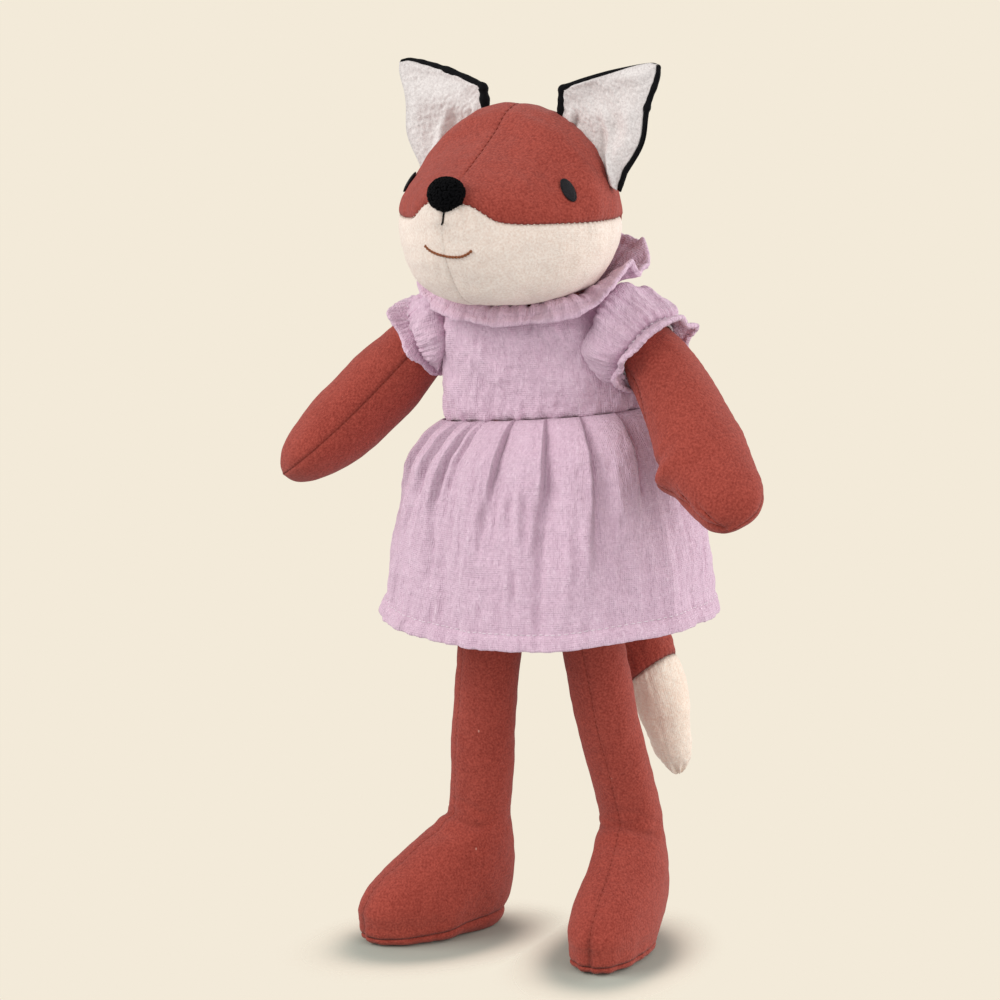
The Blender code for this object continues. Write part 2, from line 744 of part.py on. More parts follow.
def sleeve(side):
    """The puffed sleeve: full at the shoulder, drawn in by elastic, with a ruffle below it.

    Under the arm it has no fullness, so that the cloth doesn't fold back through itself beside the chest.
    """
    theta = angles(4 * SLEEVE_GATHERS)
    wave = np.cos(SLEEVE_GATHERS * theta)
    armhole = arm_ring(side, 0.0, 0.0, 0.0, theta)[:, 1:] - (SHOULDER_Y, SHOULDER_LEVEL)
    fullness = smooth(SLEEVE_FULLNESS, unit(armhole)[:, 1])[:, 0]
    outer, inner = [], []
    for place, puff, ruffle, ripple in SLEEVE_SHARES:
        extra = SLEEVE_PUFF * puff + SLEEVE_RUFFLE * ruffle + RUFFLE_WAVE * ripple * wave
        grow = ELASTIC + 3 * GAP + extra * fullness
        outer.append(arm_ring(side, place, grow + CLOTH, GAP, theta))
        inner.append(arm_ring(side, place, grow, GAP + CLOTH, theta))
    return wall(f"sleeve_{side}", outer, inner, "lilac_gauze", LILAC)


def cuff_elastic(side):
    """The elastic that draws the sleeve in round the arm."""
    theta = angles(22)
    half_band = ELASTIC_WIDTH / 2 / ARM_LENGTH
    places = (ELASTIC_SHARE - half_band, ELASTIC_SHARE + half_band)
    clear = 2 * GAP + CLOTH
    outer = [arm_ring(side, place, GAP + ELASTIC, clear, theta) for place in places]
    inner = [arm_ring(side, place, GAP, clear + ELASTIC, theta) for place in places]
    return wall(f"cuff_elastic_{side}", outer, inner, "white_elastic", WHITE_ELASTIC)


# Legs


def foot_ring(centre, toe_angle, level, toe, heel, half_width, theta):
    """An oval at one level: its toe and heel reach differ, and it points along the toe angle."""
    half = (toe + heel) / 2
    r = oval_radius(theta, half, half_width, 2.0)
    forward = r * np.cos(theta) + (toe - heel) / 2
    sideways = r * np.sin(theta)
    ahead = np.array([math.sin(toe_angle), -math.cos(toe_angle)])
    left = np.array([math.cos(toe_angle), math.sin(toe_angle)])
    xy = centre + forward[:, None] * ahead + sideways[:, None] * left
    return np.column_stack([xy, np.full(len(theta), level)])


def foot_reach(toe, heel, wide):
    """Reach beyond the leg's own radius, from shares."""
    return (
        LEG_RADIUS + (TOE_REACH - LEG_RADIUS) * toe,
        LEG_RADIUS + (HEEL_REACH - LEG_RADIUS) * heel,
        LEG_RADIUS + (FOOT_HALF_WIDTH - LEG_RADIUS) * wide,
    )


def leg(side, ankle, toe_angle):
    """A leg with its foot: an oval foot that narrows to a round leg, with a ball at the hip."""
    sign = 1 if side == "left" else -1
    theta = angles(24)
    ankle = np.array(ankle)
    hip = np.array([sign * HIP_X, HIP_Y])
    foot_bottom = SOLE_TOP + GAP
    rings = []
    for share in (0.0, 0.07, 0.15, 0.25, 0.36, 0.47, 0.58, 0.69, 0.80, 0.90):
        reach = foot_reach(*smooth(FOOT_SHARES, share)[0])
        level = foot_bottom + (ANKLE_LEVEL - foot_bottom) * share
        rings.append(foot_ring(ankle, toe_angle, level, *reach, theta))
    for share in (0.0, 0.12, 0.3, 0.5, 0.7, 0.86, 1.0):
        centre = ankle + (hip - ankle) * share
        level = ANKLE_LEVEL + (HIP_LEVEL - ANKLE_LEVEL) * share
        rings.append(foot_ring(centre, toe_angle, level, LEG_RADIUS, LEG_RADIUS, LEG_RADIUS, theta))
    for lift in (0.35, 0.65, 0.88):
        around = LEG_RADIUS * math.sqrt(1 - lift**2)
        level = HIP_LEVEL + LEG_RADIUS * lift
        rings.append(foot_ring(hip, toe_angle, level, around, around, around, theta))
    top = (*hip, HIP_LEVEL + LEG_RADIUS)
    return loft(f"leg_{side}", rings, "rust_cotton", RUST, None, top)


def sole(side, ankle, toe_angle):
    """The sole panel: a shallow cushion with a flat base that the fox stands on."""
    theta = angles(24)
    rings = []
    for share, toe, heel, wide in SOLE_SHARES:
        reach = foot_reach(toe, heel, wide)
        rings.append(foot_ring(np.array(ankle), toe_angle, SOLE_TOP * share, *reach, theta))
    return loft(f"sole_{side}", rings, "rust_cotton", RUST)


# Tail


def tail_root():
    """The middle of the tail's round end, which rests under the back edge of the seat."""
    seat_y = TRUNK_BACKSET + CHEST_HALF_DEPTH * SEAT_SHARES[0][2]
    reach = TAIL_ROOT_RADIUS + GAP
    level = HIP_LEVEL + SEAT_RISE - reach * math.sin(TAIL_DROP)
    return np.array([TAIL_ROOT_X, seat_y + reach * math.cos(TAIL_DROP), level])


def tail_frame(place):
    """A point of the tail's curved middle line, and the directions ahead, sideways and across there."""
    points = tail_root() + np.array([(0, 0, 0), *TAIL_LINE])
    knots = np.column_stack([np.linspace(0, 1, len(points)), points])
    step = 0.01
    behind, before = smooth(knots, [max(place - step, 0), min(place + step, 1)])
    ahead = unit(before - behind)
    side = unit(np.cross(ahead, (0.0, 1.0, 0.0)))
    return smooth(knots, place)[0], ahead, side, np.cross(ahead, side)


def tail_ring(place, theta):
    centre, _, side, across = tail_frame(place)
    r = TAIL_RADIUS * smooth(TAIL_SHARES, place)[0, 0]
    return centre + r * (np.cos(theta)[:, None] * side + np.sin(theta)[:, None] * across)


def tail():
    """Rust tail with a cream tip, parted along a slanted seam, with a ball at its root."""
    theta = angles(22)
    root, ahead, side, across = tail_frame(0)
    rings = []
    for lift in (0.88, 0.65, 0.35):
        around = TAIL_ROOT_RADIUS * math.sqrt(1 - lift**2)
        ring = np.cos(theta)[:, None] * side + np.sin(theta)[:, None] * across
        rings.append(root - TAIL_ROOT_RADIUS * lift * ahead + around * ring)
    rings += [tail_ring(place, theta) for place in (*np.linspace(0, 0.8, 10), 0.87, 0.93, 0.975)]
    top = root - TAIL_ROOT_RADIUS * ahead
    seam = tail_frame(TAIL_SEAM_SHARE)[0]
    made = []
    for name, finish_name, finish, sign in (
        ("tail_base", "rust_cotton", RUST, 1),
        ("tail_tip", "cream_cotton", CREAM, -1),
    ):
        piece = loft(name, rings, finish_name, finish, top, tail_frame(1)[0])
        reach = -TAIL_LINE[-1][2]
        block = bmesh.new()
        bmesh.ops.create_cube(block, size=2 * reach)
        bmesh.ops.translate(block, vec=(0, 0, sign * (GAP / 2 - reach)), verts=block.verts)
        cutter = helper(finish_mesh(f"{name}_block", block, "cutter", WHITE_ELASTIC))
        cutter.location = seam
        cutter.rotation_euler = (0, TAIL_SEAM_LEAN, 0)
        cut(piece, cutter)
        made.append(piece)
    return made


def main():
    clear_scene()
    torso()
    bodice()
    collar_ruffle()
    skirt()

    head_parts = head()
    features, grown = face_features()
    hang_on(pivot("neck_turn", (0, NECK_TURN_Y, HEAD_BOTTOM)), *head_parts, *features, *ears(grown))

    for side, sign in (("left", 1), ("right", -1)):
        shoulder = pivot(f"shoulder_{side}", (sign * SHOULDER_HALF_WIDTH, SHOULDER_Y, SHOULDER_LEVEL))
        hang_on(shoulder, arm(side), sleeve(side), cuff_elastic(side))

    stance = {"left": (LEFT_ANKLE, LEFT_TOE_ANGLE), "right": (RIGHT_ANKLE, RIGHT_TOE_ANGLE)}
    for side, sign in (("left", 1), ("right", -1)):
        hip = pivot(f"hip_{side}", (sign * HIP_X, HIP_Y, HIP_LEVEL))
        hang_on(hip, leg(side, *stance[side]), sole(side, *stance[side]))

    hang_on(pivot("tail_wag", tail_root()), *tail())


main()
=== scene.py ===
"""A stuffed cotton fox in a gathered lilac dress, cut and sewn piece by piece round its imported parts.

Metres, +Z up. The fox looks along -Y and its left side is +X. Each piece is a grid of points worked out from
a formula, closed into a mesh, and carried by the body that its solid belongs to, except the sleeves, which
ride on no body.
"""

import math

import bpy
import numpy as np
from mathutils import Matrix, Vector
from mathutils.bvhtree import BVHTree

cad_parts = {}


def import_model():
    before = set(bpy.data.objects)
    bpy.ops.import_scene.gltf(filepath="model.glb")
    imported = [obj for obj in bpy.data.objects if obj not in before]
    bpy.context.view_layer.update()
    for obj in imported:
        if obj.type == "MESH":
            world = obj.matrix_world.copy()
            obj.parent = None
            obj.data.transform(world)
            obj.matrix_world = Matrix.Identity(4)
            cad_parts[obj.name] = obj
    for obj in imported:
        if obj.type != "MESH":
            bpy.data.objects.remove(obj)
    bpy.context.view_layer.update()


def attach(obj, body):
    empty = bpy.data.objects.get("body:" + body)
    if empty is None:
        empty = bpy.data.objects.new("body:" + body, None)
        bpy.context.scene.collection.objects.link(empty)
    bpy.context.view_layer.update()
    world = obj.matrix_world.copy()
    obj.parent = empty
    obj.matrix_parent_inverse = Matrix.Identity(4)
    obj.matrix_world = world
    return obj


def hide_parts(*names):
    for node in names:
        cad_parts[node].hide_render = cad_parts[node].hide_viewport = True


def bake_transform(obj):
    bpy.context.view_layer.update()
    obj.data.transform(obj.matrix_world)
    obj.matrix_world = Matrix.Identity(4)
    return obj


UP = np.array([0.0, 0.0, 1.0])
BACKWARDS = np.array([0.0, 1.0, 0.0])
SIDES = (("left", 1), ("right", -1))
TURN = 2 * math.pi

# Cloth and levels, shared with the solids
CLOTH = 0.0012
GAP = 0.0003
ELASTIC = 0.0008
HIP_LEVEL = 0.155
ANKLE_LEVEL = 0.049
WAIST_LEVEL = 0.2115
WAIST_SLOPE = 0.12
SHOULDER_LEVEL = 0.241
NECKLINE_LEVEL = 0.2555
HEAD_BOTTOM = 0.2555

# Trunk. The bodice's rows are place, half width, half depth, forward lean and tilt
CHEST_HALF_WIDTH = 0.0423
CHEST_HALF_DEPTH = 0.027
CHEST_POWER = 2.5
TRUNK_BACKSET = 0.001
SEAT_RISE = 0.009
NECK_FORWARD = 0.0115
NECK_TILT = 0.0025
NECK_RADIUS = 0.017
NECK_TURN_Y = -0.0125
BODICE_SHARES = (
    (0.00, 0.990, 1.00, 0.00, 0.00),
    (0.18, 1.000, 1.01, 0.10, 0.00),
    (0.34, 0.985, 1.01, 0.24, 0.00),
    (0.50, 0.940, 1.00, 0.38, 0.02),
    (0.66, 0.900, 0.98, 0.54, 0.10),
    (0.80, 0.860, 0.94, 0.71, 0.30),
    (0.91, 0.770, 0.88, 0.87, 0.60),
    (1.00, 0.650, 0.80, 1.00, 1.00),
)
SEAT_SHARES = ((0.00, 0.78, 0.80), (0.18, 0.89, 0.92), (0.55, 0.94, 0.97), (1.00, 0.955, 0.955))
NECK_STUB = ((0.98, 0.2562), (0.9, 0.2572), (0.7, 0.2578), (0.35, 0.2580))
PLACKET_WIDTH = 0.009

# Head. Its rows are place from the muzzle's back, half width, crown height and jaw depth
HEAD_LENGTH = 0.0845
HEAD_WIDTH = 0.084
HEAD_HEIGHT = 0.074
HEAD_BACK = 0.012
CHEEK_HEIGHT = 0.0325
CHEEK_LEVEL = HEAD_BOTTOM + CHEEK_HEIGHT
CROWN_POWER = 1.9
JAW_POWER = 2.6
HEAD_SHARES = (
    (0.000, 0.00, 0.00, 0.00),
    (0.030, 0.35, 0.36, 0.34),
    (0.090, 0.60, 0.61, 0.55),
    (0.180, 0.81, 0.82, 0.76),
    (0.290, 0.94, 0.95, 0.90),
    (0.400, 1.00, 1.00, 0.96),
    (0.500, 1.00, 0.93, 0.99),
    (0.600, 0.95, 0.74, 1.00),
    (0.700, 0.86, 0.58, 0.98),
    (0.790, 0.72, 0.47, 0.92),
    (0.870, 0.55, 0.39, 0.80),
    (0.940, 0.36, 0.30, 0.58),
    (0.980, 0.20, 0.20, 0.35),
    (1.000, 0.00, 0.00, 0.00),
)
SIDE_SEAM_Y = -0.0055
MUZZLE_SEAM_RISE = 0.0085
MUZZLE_SEAM_SHARES = (
    (0.00, 0.00),
    (0.78, 0.01),
    (0.85, 0.06),
    (0.89, 0.18),
    (0.92, 0.50),
    (0.95, 0.90),
    (1.00, 1.00),
)
NOSE_SIZE = (0.0152, 0.0125, 0.0132)
NOSE_PLACE = (0.0, -0.0690, 0.2985)
NOSE_LEAN = math.radians(-20)
EYE_Y = -0.0418
EYE_LEVEL = 0.2995
EYE_WIDTH = 0.0066
EYE_HEIGHT = 0.0108
EYE_LEAN = math.radians(18)
EAR_INNER = (0.0165, -0.0195, 0.3245)
EAR_OUTER = (0.0435, -0.0205, 0.3050)
EAR_CORNER = (0.0175, -0.0200, 0.3345)
EAR_TIP = (0.0573, -0.0167, 0.3445)

# Arms. Their rows are place, half width and half thickness
ARM_LENGTH = 0.092
ARM_HALF_WIDTH = 0.014
ARM_HALF_THICKNESS = 0.0142
ARM_ROOT = (0.0400, -0.0075, SHOULDER_LEVEL)
ARM_LINE_SHARES = ((0.0, 0.0, 0.0), (0.14, 0.0, 0.0), (0.30, 0.0, 0.29), (0.635, 0.335, 0.633))
ARM_SHARES = (
    (0.00, 0.786, 0.775),
    (0.08, 0.82, 0.81),
    (0.20, 0.87, 0.86),
    (0.40, 0.97, 0.95),
    (0.60, 1.06, 1.06),
    (0.76, 1.20, 1.05),
    (0.87, 1.20, 0.92),
    (0.94, 0.97, 0.72),
    (0.98, 0.60, 0.45),
    (1.00, 0.00, 0.00),
)
ARM_SEAMS = {"left": (0.73, 0.56, 0.39), "right": (0.41, -0.91, -0.02)}
ELASTIC_SHARE = 0.175

# Skirt
HEM_HALF_WIDTH = 0.067
HEM_HALF_DEPTH = 0.053
HEM_FRONT_LEVEL = 0.128
HEM_SIDE_RISE = 0.007
HEM_SLOPE = 0.035
HEM_POWER = 2.1
SKIRT_FLARE = ((0.00, 0.00), (0.08, 0.20), (0.17, 0.42), (0.36, 0.62), (0.66, 0.85), (1.00, 1.00))

# Legs. The foot's rows are place, then the reach of toe and heel and the half width
LEG_RADIUS = 0.0125
HIP_X = 0.0200
HIP_Y = -0.003
ANKLES = {"left": (0.0255, 0.0215), "right": (-0.0330, -0.001)}
TOE_ANGLES = {"left": math.radians(11), "right": math.radians(-27)}
TOE_REACH = 0.051
HEEL_REACH = 0.0165
FOOT_HALF_WIDTH = 0.017
FOOT_BOTTOM = 0.0077
FOOT_SHARES = (
    (0.00, 0.97, 0.78, 0.82),
    (0.13, 1.00, 0.95, 0.98),
    (0.28, 0.93, 1.00, 1.00),
    (0.44, 0.76, 0.96, 0.92),
    (0.60, 0.52, 0.80, 0.72),
    (0.76, 0.29, 0.50, 0.40),
    (0.90, 0.10, 0.14, 0.08),
    (1.00, 0.00, 0.00, 0.00),
)

# Tail. Its rows are place and radius
TAIL_RADIUS = 0.0112
TAIL_ROOT_RADIUS = 0.0078
TAIL_ROOT = (0.002, 0.02665, 0.156985)
TAIL_LINE = (
    (0.0, 0.0, 0.0),
    (0.005, 0.0094, -0.0169),
    (0.016, 0.0204, -0.0489),
    (0.019, 0.0294, -0.0749),
    (0.016, 0.0469, -0.1049),
)
TAIL_SHARES = (
    (0.00, 0.6964),
    (0.20, 0.86),
    (0.45, 0.98),
    (0.65, 1.00),
    (0.80, 0.86),
    (0.91, 0.60),
    (0.97, 0.34),
    (1.00, 0.00),
)
TAIL_SEAM_SHARE = 0.56
TAIL_SEAM_LEAN = math.radians(-38)

# Camera, light and floor
CAMERA_PLACE = (0.5457, -0.8742, 0.3769)
CAMERA_AIM = (-0.0157, -0.0098, 0.1765)
CAMERA_LENS = 98.18
CAMERA_SENSOR = 36.0
# Place, aim, size, power and colour of each soft light
LIGHTS = {
    "key": ((-1.20, -1.30, 1.20), (0, 0, 0.15), 1.4, 26.0, (1.0, 0.99, 0.97)),
    "fill": ((1.75, -0.25, 0.7), (0, 0, 0.15), 1.4, 13.5, (1.0, 0.99, 0.98)),
    "back": ((0.9, 1.3, 0.5), (0, 0, 0.12), 1.0, 10.0, (1.0, 0.99, 0.98)),
}
WORLD_LIGHT = 0.575
BACKDROP = (243, 234, 217)
FLOOR_LEVEL = -0.0002
FLOOR_RADIUS = 0.60
# A shadow painted into the floor's colour round each foot: its reach along and across the foot, its shift,
# the tint that darkens the floor there, and the span over which it and the floor fade out.
SHADOW_REACH = (0.043, 0.027)
SHADOW_SHIFT = (0.004, -0.010, 0.0)
SHADOW_TINT = (0.52, 0.60, 0.62)
SHADOW_FADE = (0.7, 1.6)


# Numbers and curves


def smooth(table, places):
    """The columns after a table's first, read at any places along a monotone cubic through its rows."""
    rows = np.array(table, float)
    x, values = rows[:, 0], rows[:, 1:]
    step = np.diff(x)[:, None]
    slope = np.diff(values, axis=0) / step
    tangent = np.zeros_like(values)
    tangent[0], tangent[-1] = slope[0], slope[-1]
    rising = slope[:-1] * slope[1:] > 0
    mean = 2 * slope[:-1] * slope[1:] / np.where(rising, slope[:-1] + slope[1:], 1)
    tangent[1:-1] = np.where(rising, mean, 0)
    places = np.asarray(places, float)
    i = np.clip(np.searchsorted(x, places, side="right") - 1, 0, len(x) - 2)
    h = step[i]
    t = (places[..., None] - x[i][..., None]) / h
    return (
        (2 * t**3 - 3 * t**2 + 1) * values[i]
        + (t**3 - 2 * t**2 + t) * h * tangent[i]
        + (3 * t**2 - 2 * t**3) * values[i + 1]
        + (t**3 - t**2) * h * tangent[i + 1]
    )


def columns_of(table, places):
    """The columns of a smoothed table, one array for each."""
    return np.moveaxis(smooth(table, places), -1, 0)


def turned_places(table, to_angle):
    """The table with its places turned into angles, so that an end where values reach 0 comes out round."""
    rows = np.array(table, float)
    rows[:, 0] = to_angle(rows[:, 0])
    return rows


def ease(x, low=0.0, high=1.0):
    """A smooth step from 0 at low to 1 at high."""
    t = np.clip((np.asarray(x, float) - low) / (high - low), 0, 1)
    return t * t * (3 - 2 * t)


def hump(x, middle, width):
    """A bell that is 1 at middle and fades over width."""
    return np.exp(-(((np.asarray(x, float) - middle) / width) ** 2))


def fade(distance, width):
    """1 at a seam, and less with the distance from it."""
    return np.exp(-distance / width)


def unit(vector):
    vector = np.asarray(vector, float)
    return vector / np.maximum(np.linalg.norm(vector, axis=-1, keepdims=True), 1e-12)


def round_way(theta, first, second):
    """Directions at the angles theta, from the first towards the second."""
    return np.cos(theta)[..., None] * first + np.sin(theta)[..., None] * second


def xyz(x, y, z):
    return np.stack(np.broadcast_arrays(x, y, z), -1)


def oval_radius(theta, half_x, half_y, power):
    """Distance from the middle of a superellipse to its edge at each angle."""
    across = np.abs(np.cos(theta) / np.maximum(half_x, 1e-7)) ** power
    along_y = np.abs(np.sin(theta) / np.maximum(half_y, 1e-7)) ** power
    return (across + along_y) ** (-1 / power)


def ripples(points, size, seed, count=28):
    """Even, wandering unevenness of about unit height: sine waves of unlike length, way and phase."""
    random = np.random.default_rng(seed)
    points = np.asarray(points, float)
    way = unit(random.normal(size=(count, points.shape[-1])))
    length = size * random.uniform(0.7, 1.6, count)
    phase = random.uniform(0, TURN, count)
    waves = np.sin(points @ (way / length[:, None]).T * TURN + phase)
    return waves.sum(-1) * math.sqrt(2 / count)


def lumps(points, *rows):
    """Uneven relief: the sum of ripples, each with its height, size and seed."""
    return sum(height * ripples(points, size, seed) for height, size, seed in rows)


def crinkle(u, v, across, down, seed):
    """Wandering creases that lie along v: ripples that are stretched that way."""
    return ripples(np.stack([u / across, v / down], -1), 1.0, seed)


def angle_off(theta, middle=0.0):
    """How far round from middle each angle lies, from 0 to half a turn."""
    return np.abs(np.angle(np.exp(1j * (theta - middle))))


def softened(path, times):
    """The path with each inner point drawn towards its neighbours, so many times over."""
    for _ in range(times):
        path[1:-1] = (path[:-2] + 2 * path[1:-1] + path[2:]) / 4
    return path


# Meshes


def rings(count):
    """Angles round a closed ring."""
    return TURN * np.arange(count) / count


def facing(grid, around=True, away=None):
    """Outward directions of a grid, square to its rows and columns."""
    if around:
        across = np.roll(grid, -1, -2) - np.roll(grid, 1, -2)
    else:
        across = np.gradient(grid, axis=-2)
    found = unit(np.cross(across, np.gradient(grid, axis=-3)))
    middle = grid.mean(axis=-2, keepdims=True) if away is None else np.asarray(away)
    return found * np.sign(np.sum(found * (grid - middle)))


def raised(grid, height, normal=None):
    """The grid moved outwards by a height."""
    return grid + (facing(grid) if normal is None else normal) * np.asarray(height)[..., None]


def lengths(grid, around=True):
    """Cloth coordinates of a grid: metres across from its first column and down from its first row."""
    closed = np.concatenate([grid, grid[:, :1]], 1) if around else grid
    across = np.linalg.norm(np.diff(closed, axis=1), axis=-1).mean(0)
    down = np.linalg.norm(np.diff(closed, axis=0), axis=-1)
    u = np.concatenate([[0], np.cumsum(across)])
    v = np.concatenate([np.zeros((1, closed.shape[1])), np.cumsum(down, 0)])
    return np.stack([np.broadcast_to(u, v.shape), v], -1)


def patch(grid, uv=None, around=True, over=False, ends=(None, None), crease=None):
    """Faces between neighbouring points of a grid, or of many grids at once.

    around joins the last column to the first, and over the last row to the first. An end is None, a point
    that its row runs in to, or "flat", which joins the two halves of a thin loop.
    """
    grids = np.asarray(grid, float)
    grids = grids[None] if grids.ndim == 3 else grids
    many, rows, columns = grids.shape[:3]
    if uv is None:
        uv = np.zeros((rows + over, columns + around, 2))
    r, c = np.meshgrid(np.arange(rows - (not over)), np.arange(columns - (not around)), indexing="ij")
    at_r, at_c = np.stack([r, r, r + 1, r + 1], -1), np.stack([c, c + 1, c + 1, c], -1)
    faces = [((at_r % rows) * columns + at_c % columns).reshape(-1, 4)]
    corners = [uv[at_r, at_c].reshape(-1, 4, 2)]
    points = [grids.reshape(many, -1, 3)]
    for last, end in enumerate(ends):
        if end is None:
            continue
        c = np.arange(columns if isinstance(end, np.ndarray) else columns // 2 - 1)
        d = (c + 1) % columns
        row = (rows - 1) * columns * last
        if isinstance(end, np.ndarray):
            pole = rows * columns + sum(p.shape[1] for p in points[1:])
            points.append(np.broadcast_to(end.reshape(-1, 1, 3), (many, 1, 3)))
            loop = (row + c, row + d) if last else (row + d, row + c)
            faces.append(np.stack([*loop, np.full_like(c, pole), np.full_like(c, -1)], -1))
        else:
            e, f = columns - 1 - c, columns - 1 - d
            loop = (c, d, f, e) if last else (d, c, e, f)
            faces.append(row + np.stack(loop, -1))
        edge = uv[-1 if last else 0]
        corners.append(np.broadcast_to(edge[c][:, None], (len(c), 4, 2)))
    points = np.concatenate(points, 1)
    faces = np.concatenate(faces)[None]
    starts = points.shape[1] * np.arange(many)[:, None, None]
    faces = faces + np.where(faces < 0, 0, starts)
    # Crease: how much shade is painted into the colour at each point of the grid; the ends' extra points get
    # none.
    shade = np.zeros(points.shape[:2])
    if crease is not None:
        shade[:, : rows * columns] = np.broadcast_to(crease, (rows, columns)).ravel()
    return {
        "points": points.reshape(-1, 3),
        "faces": faces.reshape(-1, 4),
        "uv": np.tile(np.concatenate(corners), (many, 1, 1)),
        "crease": shade.ravel(),
    }


def wall(grid, uv, thick, around=True, away=None, crease=None, rounds=3):
    """A cloth wall: the grid is its outer face, the inner face lies thick behind it, and its hems are round.

    A hem's points are middle + out * cos(a) * thick / 2 + ahead * sin(a) * thick / 2, with a from 0 to half
    a turn.
    """
    normal = facing(grid, around, away)
    thick = np.broadcast_to(np.asarray(thick, float), grid.shape[:2])[..., None]
    inner = grid - normal * thick
    turn = (np.arange(rounds) + 1) / (rounds + 1) * math.pi

    def hem(row, before, flip):
        ahead = unit(grid[row] - grid[before])
        middle, half = (grid[row] + inner[row]) / 2, thick[row] / 2
        a = (math.pi - turn if flip else turn)[:, None, None]
        return middle + normal[row] * np.cos(a) * half + ahead * np.sin(a) * half

    rows = np.concatenate([grid, hem(-1, -2, False), inner[::-1], hem(0, 1, True)])
    count = len(grid)
    order = np.r_[:count, np.full(rounds, count - 1), np.arange(count)[::-1], np.zeros(rounds, int)]
    if around:
        shade = None if crease is None else crease[order]
        return patch(rows, uv[np.append(order, 0)], True, True, crease=shade)
    loop = np.concatenate([grid, inner[:, ::-1]], 1)
    loop_uv = np.concatenate([uv, uv[:, ::-1], uv[:, :1]], 1)
    shade = None if crease is None else np.concatenate([crease, crease[:, ::-1]], 1)
    return patch(loop, loop_uv, True, False, ("flat", "flat"), shade)


def volume(part):
    """Six times the space inside a closed patch, negative where its faces point inwards."""
    faces = part["faces"]
    corners = part["points"][np.where(faces < 0, faces[:, :1], faces)]
    a, b, c, d = np.moveaxis(corners - part["points"].mean(0), 1, 0)
    return np.sum(a * np.cross(b, c)) + np.sum(a * np.cross(c, d))


def piece(name, finish, body, *parts, slot=None, replaces=()):
    """One object from patches, with its faces outwards, riding on a body and standing for its solids."""
    start, points, faces, uv, crease = 0, [], [], [], []
    for part in parts:
        turned = slice(None, None, -1 if volume(part) < 0 else 1)
        faces.append(np.where(part["faces"] < 0, -1, part["faces"] + start)[:, turned])
        uv.append(part["uv"][:, turned])
        points.append(part["points"])
        crease.append(part["crease"])
        start += len(part["points"])
    points, faces, uv = (np.concatenate(x) for x in (points, faces, uv))
    used = faces >= 0
    mesh = bpy.data.meshes.new(name)
    mesh.vertices.add(len(points))
    mesh.vertices.foreach_set("co", points.astype(np.float32).ravel())
    mesh.loops.add(int(used.sum()))
    mesh.loops.foreach_set("vertex_index", faces[used].astype(np.int32))
    mesh.polygons.add(len(faces))
    ends = np.cumsum(used.sum(1))
    mesh.polygons.foreach_set("loop_start", (ends - used.sum(1)).astype(np.int32))
    mesh.polygons.foreach_set("use_smooth", np.ones(len(faces), bool))
    mesh.update(calc_edges=True)
    mesh.uv_layers.new(name="cloth").uv.foreach_set("vector", uv[used].astype(np.float32).ravel())
    # The crease attribute carries the shade that the finishes paint into seams and folds.
    shade = mesh.attributes.new("crease", "FLOAT", "POINT")
    shade.data.foreach_set("value", np.concatenate(crease).astype(np.float32))
    mesh.materials.append(finish)
    obj = bpy.data.objects.new(name, mesh)
    bpy.context.scene.collection.objects.link(obj)
    if body:
        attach(obj, body)
    if replaces:
        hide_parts(*replaces)
    return obj


def at(grid, rows, columns):
    """Points of a closed grid at fractional rows and columns."""
    rows, columns = np.broadcast_arrays(np.asarray(rows, float), np.asarray(columns, float))
    r = np.clip(np.floor(rows).astype(int), 0, len(grid) - 2)
    count = grid.shape[1]
    c = np.floor(columns).astype(int)
    fr, fc = (rows - r)[..., None], (columns - c)[..., None]
    c, d = c % count, (c + 1) % count
    low = grid[r, c] * (1 - fc) + grid[r, d] * fc
    high = grid[r + 1, c] * (1 - fc) + grid[r + 1, d] * fc
    return low * (1 - fr) + high * fr


def walked(path):
    """Distance walked along a path at each of its points."""
    return np.concatenate([[0], np.cumsum(np.linalg.norm(np.diff(path, axis=0), axis=1))])


def along(path, distance, values=None):
    """A path's point, or another value that goes with its points, at distances along it."""
    values = path if values is None else values
    far = walked(path)
    return np.stack([np.interp(distance, far, column) for column in values.T], -1)


def tubes(line, up, radius, columns=6):
    """Tubes round many lines at once: a ring of points, square to the line, at each of its points."""
    ahead = unit(np.gradient(line, axis=-2))
    side = unit(np.cross(ahead, up))
    rise = np.cross(side, ahead)
    reach = np.broadcast_to(np.asarray(radius, float), line.shape[:-1])[..., None]
    ring = round_way(rings(columns), side[..., None, :], rise[..., None, :])
    grid = line[..., None, :] + reach[..., None] * ring
    tips = 0.6 * reach * ahead
    first, last = line[..., 0, :] - tips[..., 0, :], line[..., -1, :] + tips[..., -1, :]
    return patch(grid, ends=(first, last))


def stitches(path, up, pitch, length, radius, sink=0.0, arch=0.3, lean=0.0):
    """Short threads laid along a path, one every pitch: each rises from the cloth in an arch and dives back.

    Its middle line is path + up * (arch * sin(pi t) - sink), with t from 0 to 1 along the stitch.
    """
    path, up = np.asarray(path, float), np.broadcast_to(up, np.shape(path))
    starts = np.arange(pitch / 2, walked(path)[-1] - length, pitch)
    t = np.linspace(0, 1, 6)
    where = starts[:, None] + length * t
    rise = unit(along(path, where, up))
    ahead = unit(along(path, starts + length) - along(path, starts))[:, None]
    side = np.cross(ahead, rise)
    line = along(path, where) + rise * (radius * (arch * 4 * t * (1 - t)) - sink)[:, None]
    line = line + side * (lean * length * (t - 0.5))[:, None]
    return tubes(line, rise, radius * (0.55 + 0.45 * np.sin(math.pi * t)))


